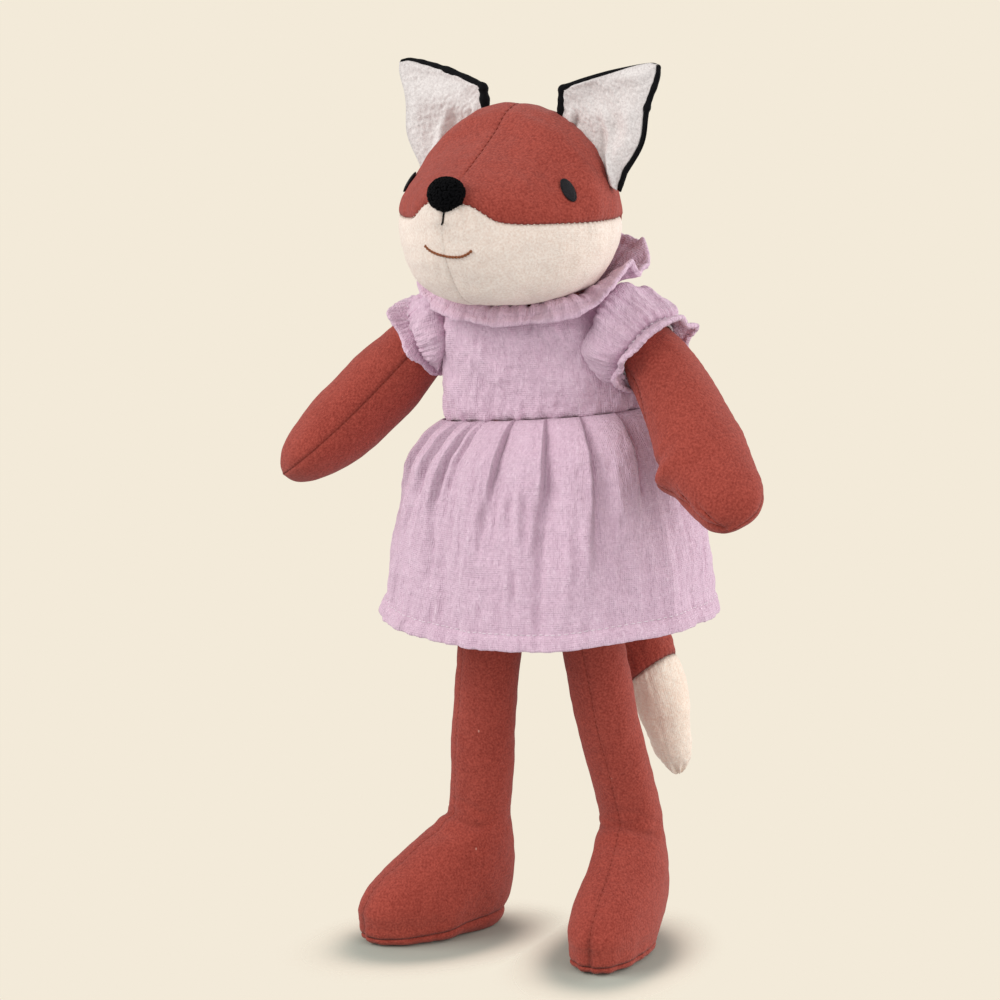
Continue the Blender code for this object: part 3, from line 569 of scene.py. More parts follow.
def plied(path, up, radius, pitch, strands=2):
    """A twisted thread: strands that wind round the path, each a half radius off its middle."""
    far = walked(path)
    where = np.linspace(0, far[-1], max(int(far[-1] / pitch * 10), 8))
    line, rise = along(path, where), unit(along(path, where, np.broadcast_to(up, path.shape)))
    ahead = unit(np.gradient(line, axis=0))
    side = unit(np.cross(ahead, rise))
    rise = np.cross(side, ahead)
    turn = TURN * where / pitch + TURN * np.arange(strands)[:, None] / strands
    off = radius * 0.5 * round_way(turn, side, rise)
    return tubes(line + off, np.broadcast_to(rise, off.shape), radius * 0.56)


# Materials


class Value:
    """One output of a material's nodes. Arithmetic on values adds the Math nodes that work it out."""

    def __init__(self, finish, socket):
        self.finish = finish
        self.socket = socket

    def math(self, operation, *others):
        return self.finish.node("Math", {"operation": operation}, dict(enumerate((self, *others))))

    def __add__(self, other):
        return self.math("ADD", other)

    def __sub__(self, other):
        return self.math("SUBTRACT", other)

    def __rsub__(self, other):
        return self.finish.node("Math", {"operation": "SUBTRACT"}, {0: other, 1: self})

    def __mul__(self, other):
        return self.math("MULTIPLY", other)

    def __gt__(self, other):
        return self.math("GREATER_THAN", other)

    __radd__ = __add__
    __rmul__ = __mul__


class Finish:
    """The finish of a cloth, yarn or thread: the shader's own constants, and the nodes that vary it."""

    def __init__(self, name, constants):
        self.material = bpy.data.materials.new(name)
        self.material.use_nodes = True
        self.tree = self.material.node_tree
        self.shader = self.tree.nodes["Principled BSDF"]
        for socket, value in constants.items():
            self.shader.inputs[socket].default_value = value

    def node(self, kind, settings=None, sockets=None, out=0):
        made = self.tree.nodes.new(f"ShaderNode{kind}")
        for key, value in (settings or {}).items():
            setattr(made, key, value)
        for key, value in (sockets or {}).items():
            self.plug(made.inputs[key], value)
        return Value(self, made.outputs[out])

    def plug(self, socket, value):
        if isinstance(value, Value):
            self.tree.links.new(value.socket, socket)
        else:
            socket.default_value = value

    def vary(self, socket, value):
        """Lets a value drive one of the shader's own sockets."""
        self.plug(self.shader.inputs[socket], value)

    def place(self):
        """Object coordinates."""
        return self.node("TexCoord", out="Object")

    def cloth(self):
        """The piece's own cloth coordinates, in metres."""
        return self.node("TexCoord", out="UV")

    def crease(self):
        """How much shade is painted into a point's colour, from 0 to 1, highest deep in a seam, fold or
        tuck.
        """
        return self.node("Attribute", {"attribute_name": "crease"}, out="Fac")

    def mix(self, share, first, second):
        """A colour between two, by share."""
        return self.node("Mix", {"data_type": "RGBA"}, {0: share, 6: first, 7: second}, 2)

    def vector(self, operation, first, second, out=0):
        return self.node("VectorMath", {"operation": operation}, {0: first, 1: second}, out)

    def noise(self, coords, size, detail=2.0, stretch=None):
        """Cloudy values about 0, with lumps of the given size in metres, longer where stretch is small."""
        coords = self.vector("MULTIPLY", coords, stretch) if stretch else coords
        sockets = {"Vector": coords, "Scale": 1 / size, "Detail": detail}
        return self.node("TexNoise", {"noise_dimensions": "3D"}, sockets) - 0.5

    def bump(self, height, depth):
        self.vary("Normal", self.node("Bump", {}, {"Strength": 1.0, "Distance": depth, "Height": height}))


def srgb(red, green, blue):
    """A colour code from 0 to 255 as linear light."""
    code = np.array([red, green, blue]) / 255
    light = np.where(code <= 0.04045, code / 12.92, ((code + 0.055) / 1.055) ** 2.4)
    return (*(float(x) for x in light), 1.0)


def dimmed(colour, *shares):
    """A colour with its channels multiplied by one share, or by one each."""
    shares = shares * 3 if len(shares) == 1 else shares
    return (*(channel * share for channel, share in zip(colour, shares)), 1.0)


def weave(finish, pitch):
    """Plain weave in the piece's cloth coordinates: warp and weft pass over each other in turn."""
    uv = finish.cloth()
    wander = finish.noise(uv, 0.004, 1.0) * 0.5
    warp, weft = (
        (finish.node("SeparateXYZ", {}, {0: uv}, axis) * (math.pi / pitch) + wander).math("SINE")
        for axis in (0, 1)
    )
    over = warp * weft * 0.5 + 0.5
    return over * warp.math("ABSOLUTE") + (1 - over) * weft.math("ABSOLUTE")


LINT_COLOUR = (232, 190, 172)
LINT_STRETCH = (1.0, 1.0, 0.55)
LINT_PATCHES = 170.0


def cotton(name, dark, light, sheen=0.08, grain=1.0, lint=0.0, pitch=0.0006, nap=0.35, rough=0.35):
    """Brushed cotton: a fine weave under a soft nap, even grain, slow clouds, stray lint, and shade painted
    into its seams and folds.
    """
    finish = Finish(name, {"Sheen Weight": sheen, "Sheen Roughness": 0.6, "Specular IOR Level": 0.15})
    place = finish.place()
    threads = weave(finish, pitch)
    fine = finish.noise(place, 0.0008, 2.0)
    cloud = finish.noise(place, 0.0026, 3.0)
    slow = finish.noise(place, 0.016, 2.0)
    share = 0.5 + fine * (2.0 * grain) + cloud * nap + slow * 0.35 + (threads - 0.5) * 0.14
    colour = finish.mix(share, dark, light)
    if lint:
        spread = {"Vector": finish.vector("MULTIPLY", place, LINT_STRETCH), "Scale": LINT_PATCHES}
        picked = finish.noise(place, 0.007, 0.0) > 0.15
        spot = (0.06 - finish.node("TexVoronoi", {}, spread)).math("MAXIMUM", 0.0) * 22 * picked
        colour = finish.mix(spot.math("MINIMUM", lint), colour, srgb(*LINT_COLOUR))
    # Painted shade: where the crease value is high, the colour darkens towards a third of the dark tone.
    finish.vary("Base Color", finish.mix(1 - finish.crease() * 0.62, dimmed(dark, 0.32), colour))
    finish.vary("Roughness", 0.88 + cloud * 0.18)
    finish.bump(threads * 0.25 + fine * 0.8 + cloud * rough, 0.0003)
    return finish.material


def gauze(name, dark, light, high):
    """Double gauze: an open mesh, soft crinkles across and down the cloth, pale fluff on their tops, and
    shade painted into its seams and folds.
    """
    finish = Finish(name, {"Sheen Weight": 0.24, "Sheen Roughness": 0.6, "Specular IOR Level": 0.12})
    uv = finish.cloth()
    threads = weave(finish, 0.0008)
    ridges = finish.noise(uv, 0.0030, 2.0, (1.0, 0.30, 1.0))
    folds = finish.noise(uv, 0.0070, 1.0, (1.0, 0.22, 1.0))
    bands = finish.noise(uv, 0.0040, 1.0, (0.25, 1.0, 1.0))
    crepe = finish.noise(finish.place(), 0.0009, 3.0, (1.0, 1.0, 0.6))
    share = 0.5 + ridges * 0.50 + folds * 0.45 + bands * 0.32 + crepe * 1.35 + (threads - 0.5) * 0.16
    pale = (ridges * 0.6 + crepe * 1.1 - 0.16).math("MAXIMUM", 0.0) * 1.5
    colour = finish.mix(pale.math("MINIMUM", 0.5), finish.mix(share, dark, light), high)
    # Painted shade: where the crease value is high, the colour darkens towards the dark tone at 0.42.
    finish.vary("Base Color", finish.mix(1 - finish.crease() * 0.5, dimmed(dark, 0.42), colour))
    finish.vary("Roughness", 0.88 + ridges * 0.15)
    finish.bump(threads * 0.35 + ridges * 1.3 + folds * 1.2 + bands * 0.9 + crepe * 1.1, 0.0006)
    return finish.material


def yarn(name, dark, light, roughness=0.8, sheen=0.02, shine=0.15):
    """Thread or yarn: fibres that vary a little in tone and height."""
    finish = Finish(name, {"Sheen Weight": sheen, "Specular IOR Level": shine})
    fibre = finish.noise(finish.place(), 0.0006, 3.0)
    finish.vary("Base Color", finish.mix(0.5 + fibre * 1.6, dark, light))
    finish.vary("Roughness", roughness + fibre * 0.2)
    finish.bump(fibre, 0.0002)
    return finish.material


def make_finishes():
    rust = srgb(138, 50, 39), srgb(177, 79, 65)
    cream = srgb(233, 210, 194), srgb(255, 243, 231)
    # The tail tip's cream is a lighter, warmer copy of the face's cream: painted light that lifts the tip
    # out of the shade below the skirt and legs.
    tail_cream = srgb(243, 214, 192), srgb(255, 243, 227)
    linen = srgb(208, 200, 197), srgb(247, 241, 238)
    lilac = srgb(208, 171, 192), srgb(243, 211, 229), srgb(252, 234, 243)
    return {
        "rust": cotton("rust_cotton", *rust, sheen=0.11, grain=1.15, lint=0.5),
        "cream": cotton("cream_cotton", *cream, sheen=0.16, grain=0.9, pitch=0.0005, rough=0.2),
        "tail_cream": cotton("tail_cream_brightened_cotton", *tail_cream, sheen=0.16, nap=0.6, rough=1.6),
        "linen": cotton("linen", *linen, grain=0.9, pitch=0.0007, nap=0.05, rough=0.15),
        "black": cotton("black_cotton", srgb(4, 4, 6), srgb(17, 17, 20), sheen=0.0),
        "lilac": gauze("lilac_gauze", *lilac),
        "yarn": yarn("black_yarn", srgb(2, 2, 3), srgb(10, 10, 13), sheen=0.0, shine=0.08),
        "eye_thread": yarn("eye_thread", srgb(6, 5, 8), srgb(30, 27, 33), roughness=0.5, shine=0.25),
        "rust_thread": yarn("rust_thread", srgb(98, 32, 24), srgb(150, 58, 42)),
        "cream_thread": yarn("cream_thread", srgb(206, 180, 164), srgb(238, 222, 210)),
        "white_thread": yarn("white_thread", srgb(226, 206, 216), srgb(250, 240, 246)),
        "elastic": yarn("white_elastic", srgb(220, 214, 216), srgb(246, 242, 243)),
        "brown_thread": yarn("brown_thread", srgb(112, 62, 38), srgb(170, 108, 72)),
    }


# Trunk and bodice


def trunk_point(place, theta, inset=0.0):
    """A point of the bodice at a share of the way from waist to neckline, drawn in by inset."""
    place, theta = np.broadcast_arrays(np.asarray(place, float), np.asarray(theta, float))
    wide, deep, forward, tilt = columns_of(BODICE_SHARES, place)
    half_x = CHEST_HALF_WIDTH * wide - inset
    half_y = CHEST_HALF_DEPTH * deep - inset
    r = oval_radius(theta, half_x, half_y, CHEST_POWER)
    x, y = r * np.cos(theta), r * np.sin(theta)
    level = WAIST_LEVEL + (NECKLINE_LEVEL - WAIST_LEVEL) * place
    z = level + NECK_TILT * tilt * y / half_y + WAIST_SLOPE * (1 - place) * x
    return xyz(x, y + TRUNK_BACKSET - NECK_FORWARD * forward, z)


def chest_shares(level):
    """The bodice's half width, half depth, forward lean and tilt at a level."""
    return columns_of(BODICE_SHARES, np.clip((level - WAIST_LEVEL) / (NECKLINE_LEVEL - WAIST_LEVEL), 0, 1))


def chest_side(level):
    """The bodice's half width at a level."""
    return CHEST_HALF_WIDTH * chest_shares(level)[0]


def chest_x(y, z):
    """The x of the bodice's left side at a y and a level."""
    wide, deep, forward, _ = chest_shares(z)
    off = np.abs(y - TRUNK_BACKSET + NECK_FORWARD * forward) / (CHEST_HALF_DEPTH * deep)
    return CHEST_HALF_WIDTH * wide * np.clip(1 - off**CHEST_POWER, 0.02, 1) ** (1 / CHEST_POWER)


def trunk(finishes):
    """The stuffed trunk: a seat with a hollow over each thigh, then the chest and a neck stub."""
    theta = rings(96)
    seat_level = HIP_LEVEL + SEAT_RISE
    seat_bulge, hollow_gap = 0.0016, 0.0008

    def seat_ring(place):
        wide, deep = smooth(SEAT_SHARES, place)
        return oval_radius(theta, CHEST_HALF_WIDTH * wide, CHEST_HALF_DEPTH * deep, CHEST_POWER)

    rows = []
    for share in np.linspace(0.04, 1.0, 14):
        r = share * seat_ring(0.0)
        x, y = r * np.cos(theta), r * np.sin(theta) + TRUNK_BACKSET
        z = np.full_like(x, seat_level) + seat_bulge * share**6
        for sign in (1, -1):
            off = (x - sign * HIP_X) ** 2 + (y - HIP_Y) ** 2
            z = np.maximum(z, HIP_LEVEL + np.sqrt(np.maximum((LEG_RADIUS + hollow_gap) ** 2 - off, 0)))
        rows.append(xyz(x, y, z))
    for place in np.linspace(0.06, 0.95, 22):
        r = seat_ring(place)
        x = r * np.cos(theta)
        z = seat_level + (WAIST_LEVEL + WAIST_SLOPE * x - seat_level) * place
        rows.append(xyz(x, r * np.sin(theta) + TRUNK_BACKSET, z))
    rows += list(trunk_point(np.linspace(0, 0.97, 30)[:, None], theta[None], CLOTH + 2 * GAP))
    for share, level in NECK_STUB:
        r = NECK_RADIUS * share
        rows.append(xyz(r * np.cos(theta), r * np.sin(theta) + NECK_TURN_Y, level))
    grid = np.array(rows)
    grid = raised(grid, lumps(grid, (0.0002, 0.012, 11)))
    part = patch(grid, lengths(grid), ends=(grid[0].mean(0), grid[-1].mean(0)))
    made = piece("trunk_stuffed", finishes["rust"], "trunk", part, slot="rust_cotton", replaces=["torso"])


LAP_ANGLE = math.asin((PLACKET_WIDTH / 2 + GAP) / CHEST_HALF_DEPTH)
STRIP_ANGLE = math.asin(PLACKET_WIDTH / 2 / CHEST_HALF_DEPTH)
SIDE_SEAM_ANGLE = 0.004
PANEL_OVERLAP = 0.06
BACK_ANGLE = math.pi / 2
BACK_SWEEP = BACK_ANGLE - LAP_ANGLE - SIDE_SEAM_ANGLE + PANEL_OVERLAP
FRONT_SWEEP = math.pi - 2 * SIDE_SEAM_ANGLE
RIGHT_BACK_ANGLE = BACK_ANGLE + LAP_ANGLE - PANEL_OVERLAP
# Piece, solid, first angle, sweep, columns, flat width, seed, and how far it lies above the bodice
BODICE_PANELS = (
    ("bodice_front_panel", "bodice_front", SIDE_SEAM_ANGLE - math.pi, FRONT_SWEEP, 220, 0.114, 21, 0.0),
    ("bodice_left_back_panel", "bodice_back_left", SIDE_SEAM_ANGLE, BACK_SWEEP, 110, 0.055, 22, 0.0),
    ("bodice_right_back_panel", "bodice_back_right", RIGHT_BACK_ANGLE, BACK_SWEEP, 110, 0.055, 23, 0.0),
    ("placket_strip", "back_placket", BACK_ANGLE - STRIP_ANGLE, 2 * STRIP_ANGLE, 26, 0.010, 24, 0.0011),
)
BODICE_MIDDLE = (0, 0, 0.23)


def bodice_panel(name, solid, start, sweep, columns, width, seed, lift, finishes):
    """One panel of the bodice: the trunk's surface with soft creases, tucked in along its seams."""
    theta = start + sweep * np.linspace(0, 1, columns)
    places = np.linspace(-0.012, 1.0, 56)
    grid = trunk_point(np.maximum(places, 0)[:, None], theta[None], -lift)
    grid[0, :, 2] -= 0.0006
    normal = facing(grid, around=False, away=BODICE_MIDDLE)
    uv = lengths(grid, around=False)
    u, v = uv[..., 0], uv[..., 1]
    edge = np.minimum(u, u.max(-1, keepdims=True) - u)
    above = (grid[..., 2] - grid[:1, :, 2]).clip(0)
    tuck = 0.0007 * fade(edge, 0.0011) + 0.0011 * fade(above, 0.0012)
    crease = 0.00017 * crinkle(u, v, 0.0042, 0.012, seed) + lumps(grid, (0.00012, 0.0032, seed + 1))
    broad = lumps(grid, (0.00055, 0.018, seed + 2)) * ease(above, 0.0, 0.006)
    drag = 0.0005 * np.sin(u / 0.009 * TURN + 2.0 * np.sin(u / 0.009)) * fade(above, 0.006)
    grid = raised(grid, crease + broad + drag - tuck + GAP, normal)
    shade = np.maximum(0.8 * fade(edge, 0.0006), 0.55 * fade(above, 0.0007))
    part = wall(grid, uv, CLOTH * 0.8, around=False, away=BODICE_MIDDLE, crease=shade)
    made = piece(name, finishes["lilac"], "trunk", part, slot="lilac_gauze", replaces=[solid])


def bodice(finishes):
    for panel in BODICE_PANELS:
        bodice_panel(*panel, finishes)
    rows = []
    for edge in (-0.82, 0.82):
        path = trunk_point(np.linspace(0.03, 0.97, 90), BACK_ANGLE + edge * STRIP_ANGLE, -0.0012)
        rows.append(stitches(path, BACKWARDS, 0.0024, 0.0016, 0.00018, sink=-0.00028))
    piece("placket_stitching", finishes["white_thread"], "trunk", *rows, slot="lilac_gauze")


# Skirt


def skirt_radius(place, theta):
    """Radius of the smooth skirt: superellipses that widen from waist to hem."""
    place, theta = np.broadcast_arrays(np.asarray(place, float), np.asarray(theta, float))
    flare = smooth(SKIRT_FLARE, place)[..., 0]
    waist_x, waist_y = CHEST_HALF_WIDTH * 0.99, CHEST_HALF_DEPTH
    half_x = waist_x + (HEM_HALF_WIDTH - waist_x) * flare
    half_y = waist_y + (HEM_HALF_DEPTH - waist_y) * flare
    return oval_radius(theta, half_x, half_y, CHEST_POWER + (HEM_POWER - CHEST_POWER) * flare)


# Degrees round from the fox's left side at which each pleat folds, how far down it reaches, and its depth
PLEATS = (
    (-152.2, 0.52, 1.4),
    (-134.9, 0.50, 1.5),
    (-121.4, 0.60, 1.6),
    (-115.0, 0.42, 1.3),
    (-87.2, 0.78, 1.15),
    (-60.3, 0.92, 1.25),
    (-39.7, 0.98, 1.3),
    (-21.3, 0.80, 1.1),
    (-3.5, 0.60, 0.9),
    (14.0, 0.42, 0.9),
    (29.0, 0.30, 0.8),
    (46.0, 0.52, 1.1),
    (61.0, 0.36, 0.9),
    (79.0, 0.46, 1.0),
    (97.0, 0.50, 1.0),
    (113.0, 0.34, 0.9),
    (131.0, 0.48, 1.0),
    (148.0, 0.40, 0.9),
    (164.0, 0.30, 0.8),
    (187.0, 0.26, 0.7),
)
HEM_LENGTH = 0.083
HEM_STITCH_DROP = HEM_LENGTH - 0.0055
SKIRT_ROUND = 0.40
# Start, end and count of the skirt's rows, which lie closest near the hem
SKIRT_ROWS = ((0, 0.25, 30), (0.25, 0.93, 38), (0.93, 1.0, 13))
FRONT = 3 * math.pi / 2


def pleat_height(theta, place):
    """Knife pleats: the cloth rises slowly to each fold line, drops behind it, and smooths out below.

    Between two lines it is a round lobe, sin(pi s), and a fold, s ** 1.5 * ease((1 - s) / w), with s the
    share of the way across.
    """
    degrees, reaches, depths = np.array(PLEATS).T
    lines = np.radians(degrees)
    gap = np.append(np.diff(lines), lines[0] + TURN - lines[-1])
    around = (theta - lines[0]) % TURN + lines[0]
    i = np.searchsorted(lines, around, side="right") - 1
    s = (around - lines[i]) / gap[i]
    nearest = (i + 1) % len(lines)
    down = np.clip(place / reaches[nearest], 0, 2)
    strength = depths[nearest] * (0.62 + 0.38 * ease(down, 0.0, 0.16)) * (1 - ease(down, 0.25, 1.25))
    width = 0.05 + 0.45 * ease(down, 0.2, 1.0)
    fold = 0.75 * s**1.5 * ease((1 - s) / width) + 0.45 * np.sin(math.pi * s)
    return strength * fold * (gap[i] / 0.45) ** 0.5


def skirt(finishes):
    """The gathered skirt, its turned hem and the row of stitches that holds it."""
    columns = 600
    theta = rings(columns)
    upper, middle, hem = (np.linspace(*span) for span in SKIRT_ROWS)
    place = np.r_[upper[:-1], middle[:-1], hem][:, None]
    r = skirt_radius(place, theta[None])
    cos, sin = np.cos(theta), np.sin(theta)
    v = np.broadcast_to(place * HEM_LENGTH, r.shape)
    crown = np.stack([cos, sin], -1)

    def round_cloth(radius, squeeze):
        return np.concatenate([np.broadcast_to(crown * radius, (*r.shape, 2)), v[..., None] * squeeze], -1)

    cloth_place = round_cloth(SKIRT_ROUND / TURN, 0.14)
    swing = ripples(round_cloth(0.06, 0.35), 0.034, 31)
    ridge = ripples(cloth_place, 0.0062, 32, 40)
    fine = ripples(cloth_place * (1, 1, 3.0), 0.0027, 33, 40)
    seam = np.abs((theta + math.pi / 2) % math.pi - math.pi / 2) * 0.06
    pucker = fade(seam, 0.0022)[None] * np.sin(v / 0.0035 * TURN) * 0.00022
    groove = fade(seam, 0.0008)[None] * 0.0005
    stitched = hump(v, HEM_STITCH_DROP, 0.0006)
    band = ease(v, HEM_LENGTH - 0.0058, HEM_LENGTH - 0.0035)
    wings = np.maximum(np.cos(theta + 0.35), 0)[None] ** 8 + np.maximum(-np.cos(theta - 0.5), 0)[None] ** 8
    flip = ease(place, 0.90, 1.0) * (0.0009 + 0.0016 * wings)
    height = (
        0.0044 * pleat_height(theta[None], place)
        + 0.0008 * swing * ease(place, 0.15, 0.7)
        + 0.00042 * ridge * ease(place, 0.05, 0.4)
        + 0.00014 * fine * ease(place, 0.02, 0.2)
        + 0.0010 * hump(place, 0.05, 0.05)
        + pucker
        - groove
        - 0.00045 * stitched
        + 0.00025 * band
        + flip
        - 0.0011 * fade(v, 0.0011)
        - 0.0002
    )
    r = r + height
    x, y = r * cos, r * sin + TRUNK_BACKSET
    top = WAIST_LEVEL - GAP + WAIST_SLOPE * x
    side = np.minimum(cos**2 + (sin > 0) * sin**2, 1)
    wave = lumps(crown * 0.06, (0.00012, 0.03, 35))
    wave = wave + 0.0015 * hump(theta - FRONT, 0.05, 0.35) - 0.0010 * hump(theta - FRONT, -1.0, 0.3)
    hem_level = HEM_FRONT_LEVEL + HEM_SIDE_RISE * side + HEM_SLOPE * x + wave
    grid = xyz(x, y, top + (hem_level - top) * place)
    u = np.append(theta / TURN, 1.0) * SKIRT_ROUND
    uv = np.stack(np.broadcast_arrays(u[None], place * HEM_LENGTH), -1)
    # Painted shade: on the steep side of each pleat, where the cloth drops behind its fold line, just below
    # the waist seam, and along the hem stitching.
    pleats = np.maximum(0, (np.roll(height, 2, 1) - np.roll(height, -2, 1)) / 0.0022 - 0.30)
    shade = np.maximum(pleats * 0.9, np.maximum(fade(v, 0.0007) * 0.5, stitched * 0.22))
    part = wall(grid, uv, CLOTH * (0.75 + 0.35 * band), crease=np.clip(shade, 0, 0.85))
    made = piece("skirt_gathered", finishes["lilac"], "trunk", part, slot="lilac_gauze", replaces=["skirt"])
    row = np.interp(HEM_STITCH_DROP, place[:, 0] * HEM_LENGTH, np.arange(len(place)))
    walk = np.linspace(0, columns, 1400)
    sewn = stitches(at(grid, row, walk), at(facing(grid), row, walk), 0.0026, 0.0017, 0.00021, sink=-0.00005)
    piece("hem_stitching", finishes["white_thread"], "trunk", sewn, slot="lilac_gauze")


# Degrees round from the front, then the frill's width, its first and last slopes in degrees, how late it
# turns over, and the size of its waves
COLLAR_PROFILE = (
    (0, 0.0134, 86, -102, 0.72, 0.0009),
    (30, 0.0150, 93, -100, 0.84, 0.0010),
    (50, 0.0182, 95, -88, 0.92, 0.0014),
    (65, 0.0195, 92, -50, 0.92, 0.0020),
    (90, 0.0190, 88, 4, 0.82, 0.0026),
    (120, 0.0225, 84, 16, 0.80, 0.0030),
    (150, 0.0240, 84, 48, 0.80, 0.0028),
    (180, 0.0225, 84, 45, 0.80, 0.0024),
)
COLLAR_PHASE = 0.6
COLLAR_WAVES = (9, 21, 44)
COLLAR_MIDDLE = (0, -0.01, 0.20)


def collar(finishes):
    """The gathered frill: it lies out over the chest and stands up behind the head.

    Its profile turns from a first angle at the neckline to a last one at its free edge, and its ripples
    grow on the way.
    """
    columns, rows = 720, 30
    theta = rings(columns)
    share = np.linspace(0, 1, rows)[:, None]
    width, first, final, bend, size = smooth(COLLAR_PROFILE, np.degrees(angle_off(theta, FRONT))).T
    first, final = np.radians(first), np.radians(final)
    base = trunk_point(1.0, theta)
    base[:, 2] += 0.0004
    out = xyz(np.cos(theta), np.sin(theta), 0.0)
    angle = first + (final - first) * share**bend
    step = width / (rows - 1)
    reach, rise = (np.cumsum(f(angle) * step, 0) - f(angle[:1]) * step for f in (np.cos, np.sin))
    wander = lumps(out[:, :2] * 0.03, (0.55, 0.016, 41))
    few, more, many = COLLAR_WAVES
    turn = few * theta + wander * 1.2 + COLLAR_PHASE
    small = np.cos(many * theta + 2.3 * wander + 0.7)
    ripple = (
        size * np.cos(turn) * share**1.1
        + 0.0006 * np.cos(more * theta + wander * 2.0) * share**0.8
        + 0.0007 * small * (1 - share) ** 0.7 * ease(share, 0.0, 0.15)
        + 0.0016 * ease(share, 0.84, 1.0)
    )
    normal = -out * np.sin(angle)[..., None] + UP * np.cos(angle)[..., None]
    grid = base + out * reach[..., None] + UP * rise[..., None] + normal * ripple[..., None]
    lean = 0.55 * size * np.sin(turn) * share
    grid = grid + xyz(-np.sin(theta), np.cos(theta), 0.0) * lean[..., None]
    uv = lengths(grid)
    fine = 0.00016 * crinkle(uv[:, :-1, 0], uv[:, :-1, 1], 0.0026, 0.009, 43)
    grid = raised(grid, fine, facing(grid, away=COLLAR_MIDDLE))
    welt = 1 + 1.5 * hump(share, 0.95, 0.06)
    shade = np.broadcast_to(fade(share, 0.05) * 0.9 + 0.30 * hump(share, 0.83, 0.02), (rows, columns))
    part = wall(grid, uv, CLOTH * 0.75 * welt, away=COLLAR_MIDDLE, crease=shade)
    solids = ["collar_ruffle"]
    made = piece("collar_frill", finishes["lilac"], "trunk", part, slot="lilac_gauze", replaces=solids)


# Head


def head_sizes(t):
    """The half width, crown height and jaw depth of each ring of the head."""
    rows = turned_places(HEAD_SHARES, lambda place: np.arccos(1 - 2 * place))
    scale = (HEAD_WIDTH / 2, HEAD_HEIGHT - CHEEK_HEIGHT, CHEEK_HEIGHT)
    return np.moveaxis(smooth(rows, t) * scale, -1, 0)


def head_y(t):
    return HEAD_BACK - HEAD_LENGTH * (1 - np.cos(t)) / 2


def head_shape(t, theta):
    """A point of the stuffed head: t runs from 0 behind to half a turn at the muzzle, theta round each ring.

    A ring is a superellipse whose half width, crown height and jaw depth come from the head's shares.
    """
    t, theta = np.broadcast_arrays(np.asarray(t, float), np.asarray(theta, float))
    wide, crown, jaw = head_sizes(t)
    upper = oval_radius(theta, wide, crown, CROWN_POWER)
    lower = oval_radius(theta, wide, jaw, JAW_POWER)
    r = np.where(np.sin(theta) > 0, upper, lower)
    return xyz(r * np.cos(theta), head_y(t), CHEEK_LEVEL + r * np.sin(theta))


def head_facing(t, theta):
    """The head's outward direction, from small steps along both of its parameters."""
    step = 0.004
    t, theta = np.broadcast_arrays(np.clip(t, 0.02, math.pi - 0.02), theta)
    along_t = head_shape(t + step, theta) - head_shape(t - step, theta)
    along_theta = head_shape(t, theta + step) - head_shape(t, theta - step)
    normal = unit(np.cross(along_t, along_theta))
    out = head_shape(t, theta) - HEAD_MIDDLE
    return normal * np.sign(np.sum(normal * out, -1, keepdims=True))


def cheek_seam(t):
    """The angle round a ring at which the rust hood meets the cream face."""
    front = HEAD_BACK - HEAD_LENGTH
    share = np.clip((SIDE_SEAM_Y - head_y(t)) / (SIDE_SEAM_Y - front), 0, 1)
    height = MUZZLE_SEAM_RISE * smooth(MUZZLE_SEAM_SHARES, share)[..., 0]
    wide, crown, _ = head_sizes(t)
    share = np.clip(height / np.maximum(crown, 1e-6), 0, 1)
    x = wide * (1 - share**CROWN_POWER) ** (1 / CROWN_POWER)
    return np.where(share >= 1, math.pi / 2, np.arctan2(height, x))


def welded(part, tolerance=1e-7):
    """A patch with points that lie on each other made one, and faces that lose a corner made smaller."""
    whole = np.round(part["points"] / tolerance).astype(np.int64)
    keys, index = np.unique(whole, axis=0, return_inverse=True)
    index = index.reshape(-1)
    first = np.zeros(len(keys), int)
    first[index[::-1]] = np.arange(len(index))[::-1]
    faces = np.where(part["faces"] < 0, -1, index[part["faces"]])
    for corner in range(4):
        lost = faces[:, corner] == np.roll(faces, -1, 1)[:, corner]
        faces[:, corner] = np.where(lost, -1, faces[:, corner])
    kept = (faces >= 0).sum(1) > 2
    return {
        "points": part["points"][first],
        "faces": faces[kept],
        "uv": part["uv"][kept],
        "crease": part["crease"][first],
    }


def stuffed(part, centre, tuck):
    """Closes an open shell: each free edge turns in by tuck towards the centre, then runs in to it."""
    points, faces = part["points"], part["faces"]
    full = faces[(faces >= 0).all(1)]
    bent = faces[(faces < 0).any(1)]
    outlines = [full] + [np.delete(bent[bent[:, gone] < 0], gone, 1) for gone in range(4)]
    edges = np.concatenate([np.stack([o, np.roll(o, -1, 1)], -1).reshape(-1, 2) for o in outlines])
    code = edges.min(1) * len(points) + edges.max(1)
    _, where, count = np.unique(code, return_index=True, return_counts=True)
    free = edges[where[count == 1]]
    rim = np.unique(free)
    inner = points[rim] + unit(centre - points[rim]) * tuck
    number = np.zeros(len(points), int)
    number[rim] = len(points) + np.arange(len(rim))
    a, b = free.T
    pole = len(points) + len(rim)
    walls = np.stack([b, a, number[a], number[b]], -1)
    cone = np.stack([number[b], number[a], np.full_like(a, pole), np.full_like(a, -1)], -1)
    return {
        "points": np.concatenate([points, inner, [centre]]),
        "faces": np.concatenate([faces, walls, cone]),
        "uv": np.concatenate([part["uv"], np.zeros((2 * len(free), 4, 2))]),
        # The turned-in points and the centre get full painted shade.
        "crease": np.concatenate([part["crease"], np.ones(len(rim) + 1)]),
    }


HEAD_MIDDLE = np.array([0.0, -0.030, CHEEK_LEVEL])
# Depth and width of each seam's groove, then strength and width of its shade
HEAD_SEAMS = {
    "cheek": (0.00095, 0.0010, 0.50, 0.0005),
    "flank": (0.00080, 0.0010, 1.00, 0.0006),
    "brow": (0.00050, 0.0009, 0.40, 0.0004),
    "chin": (0.00030, 0.0009, 0.28, 0.0005),
}
ELSEWHERE = 0.03


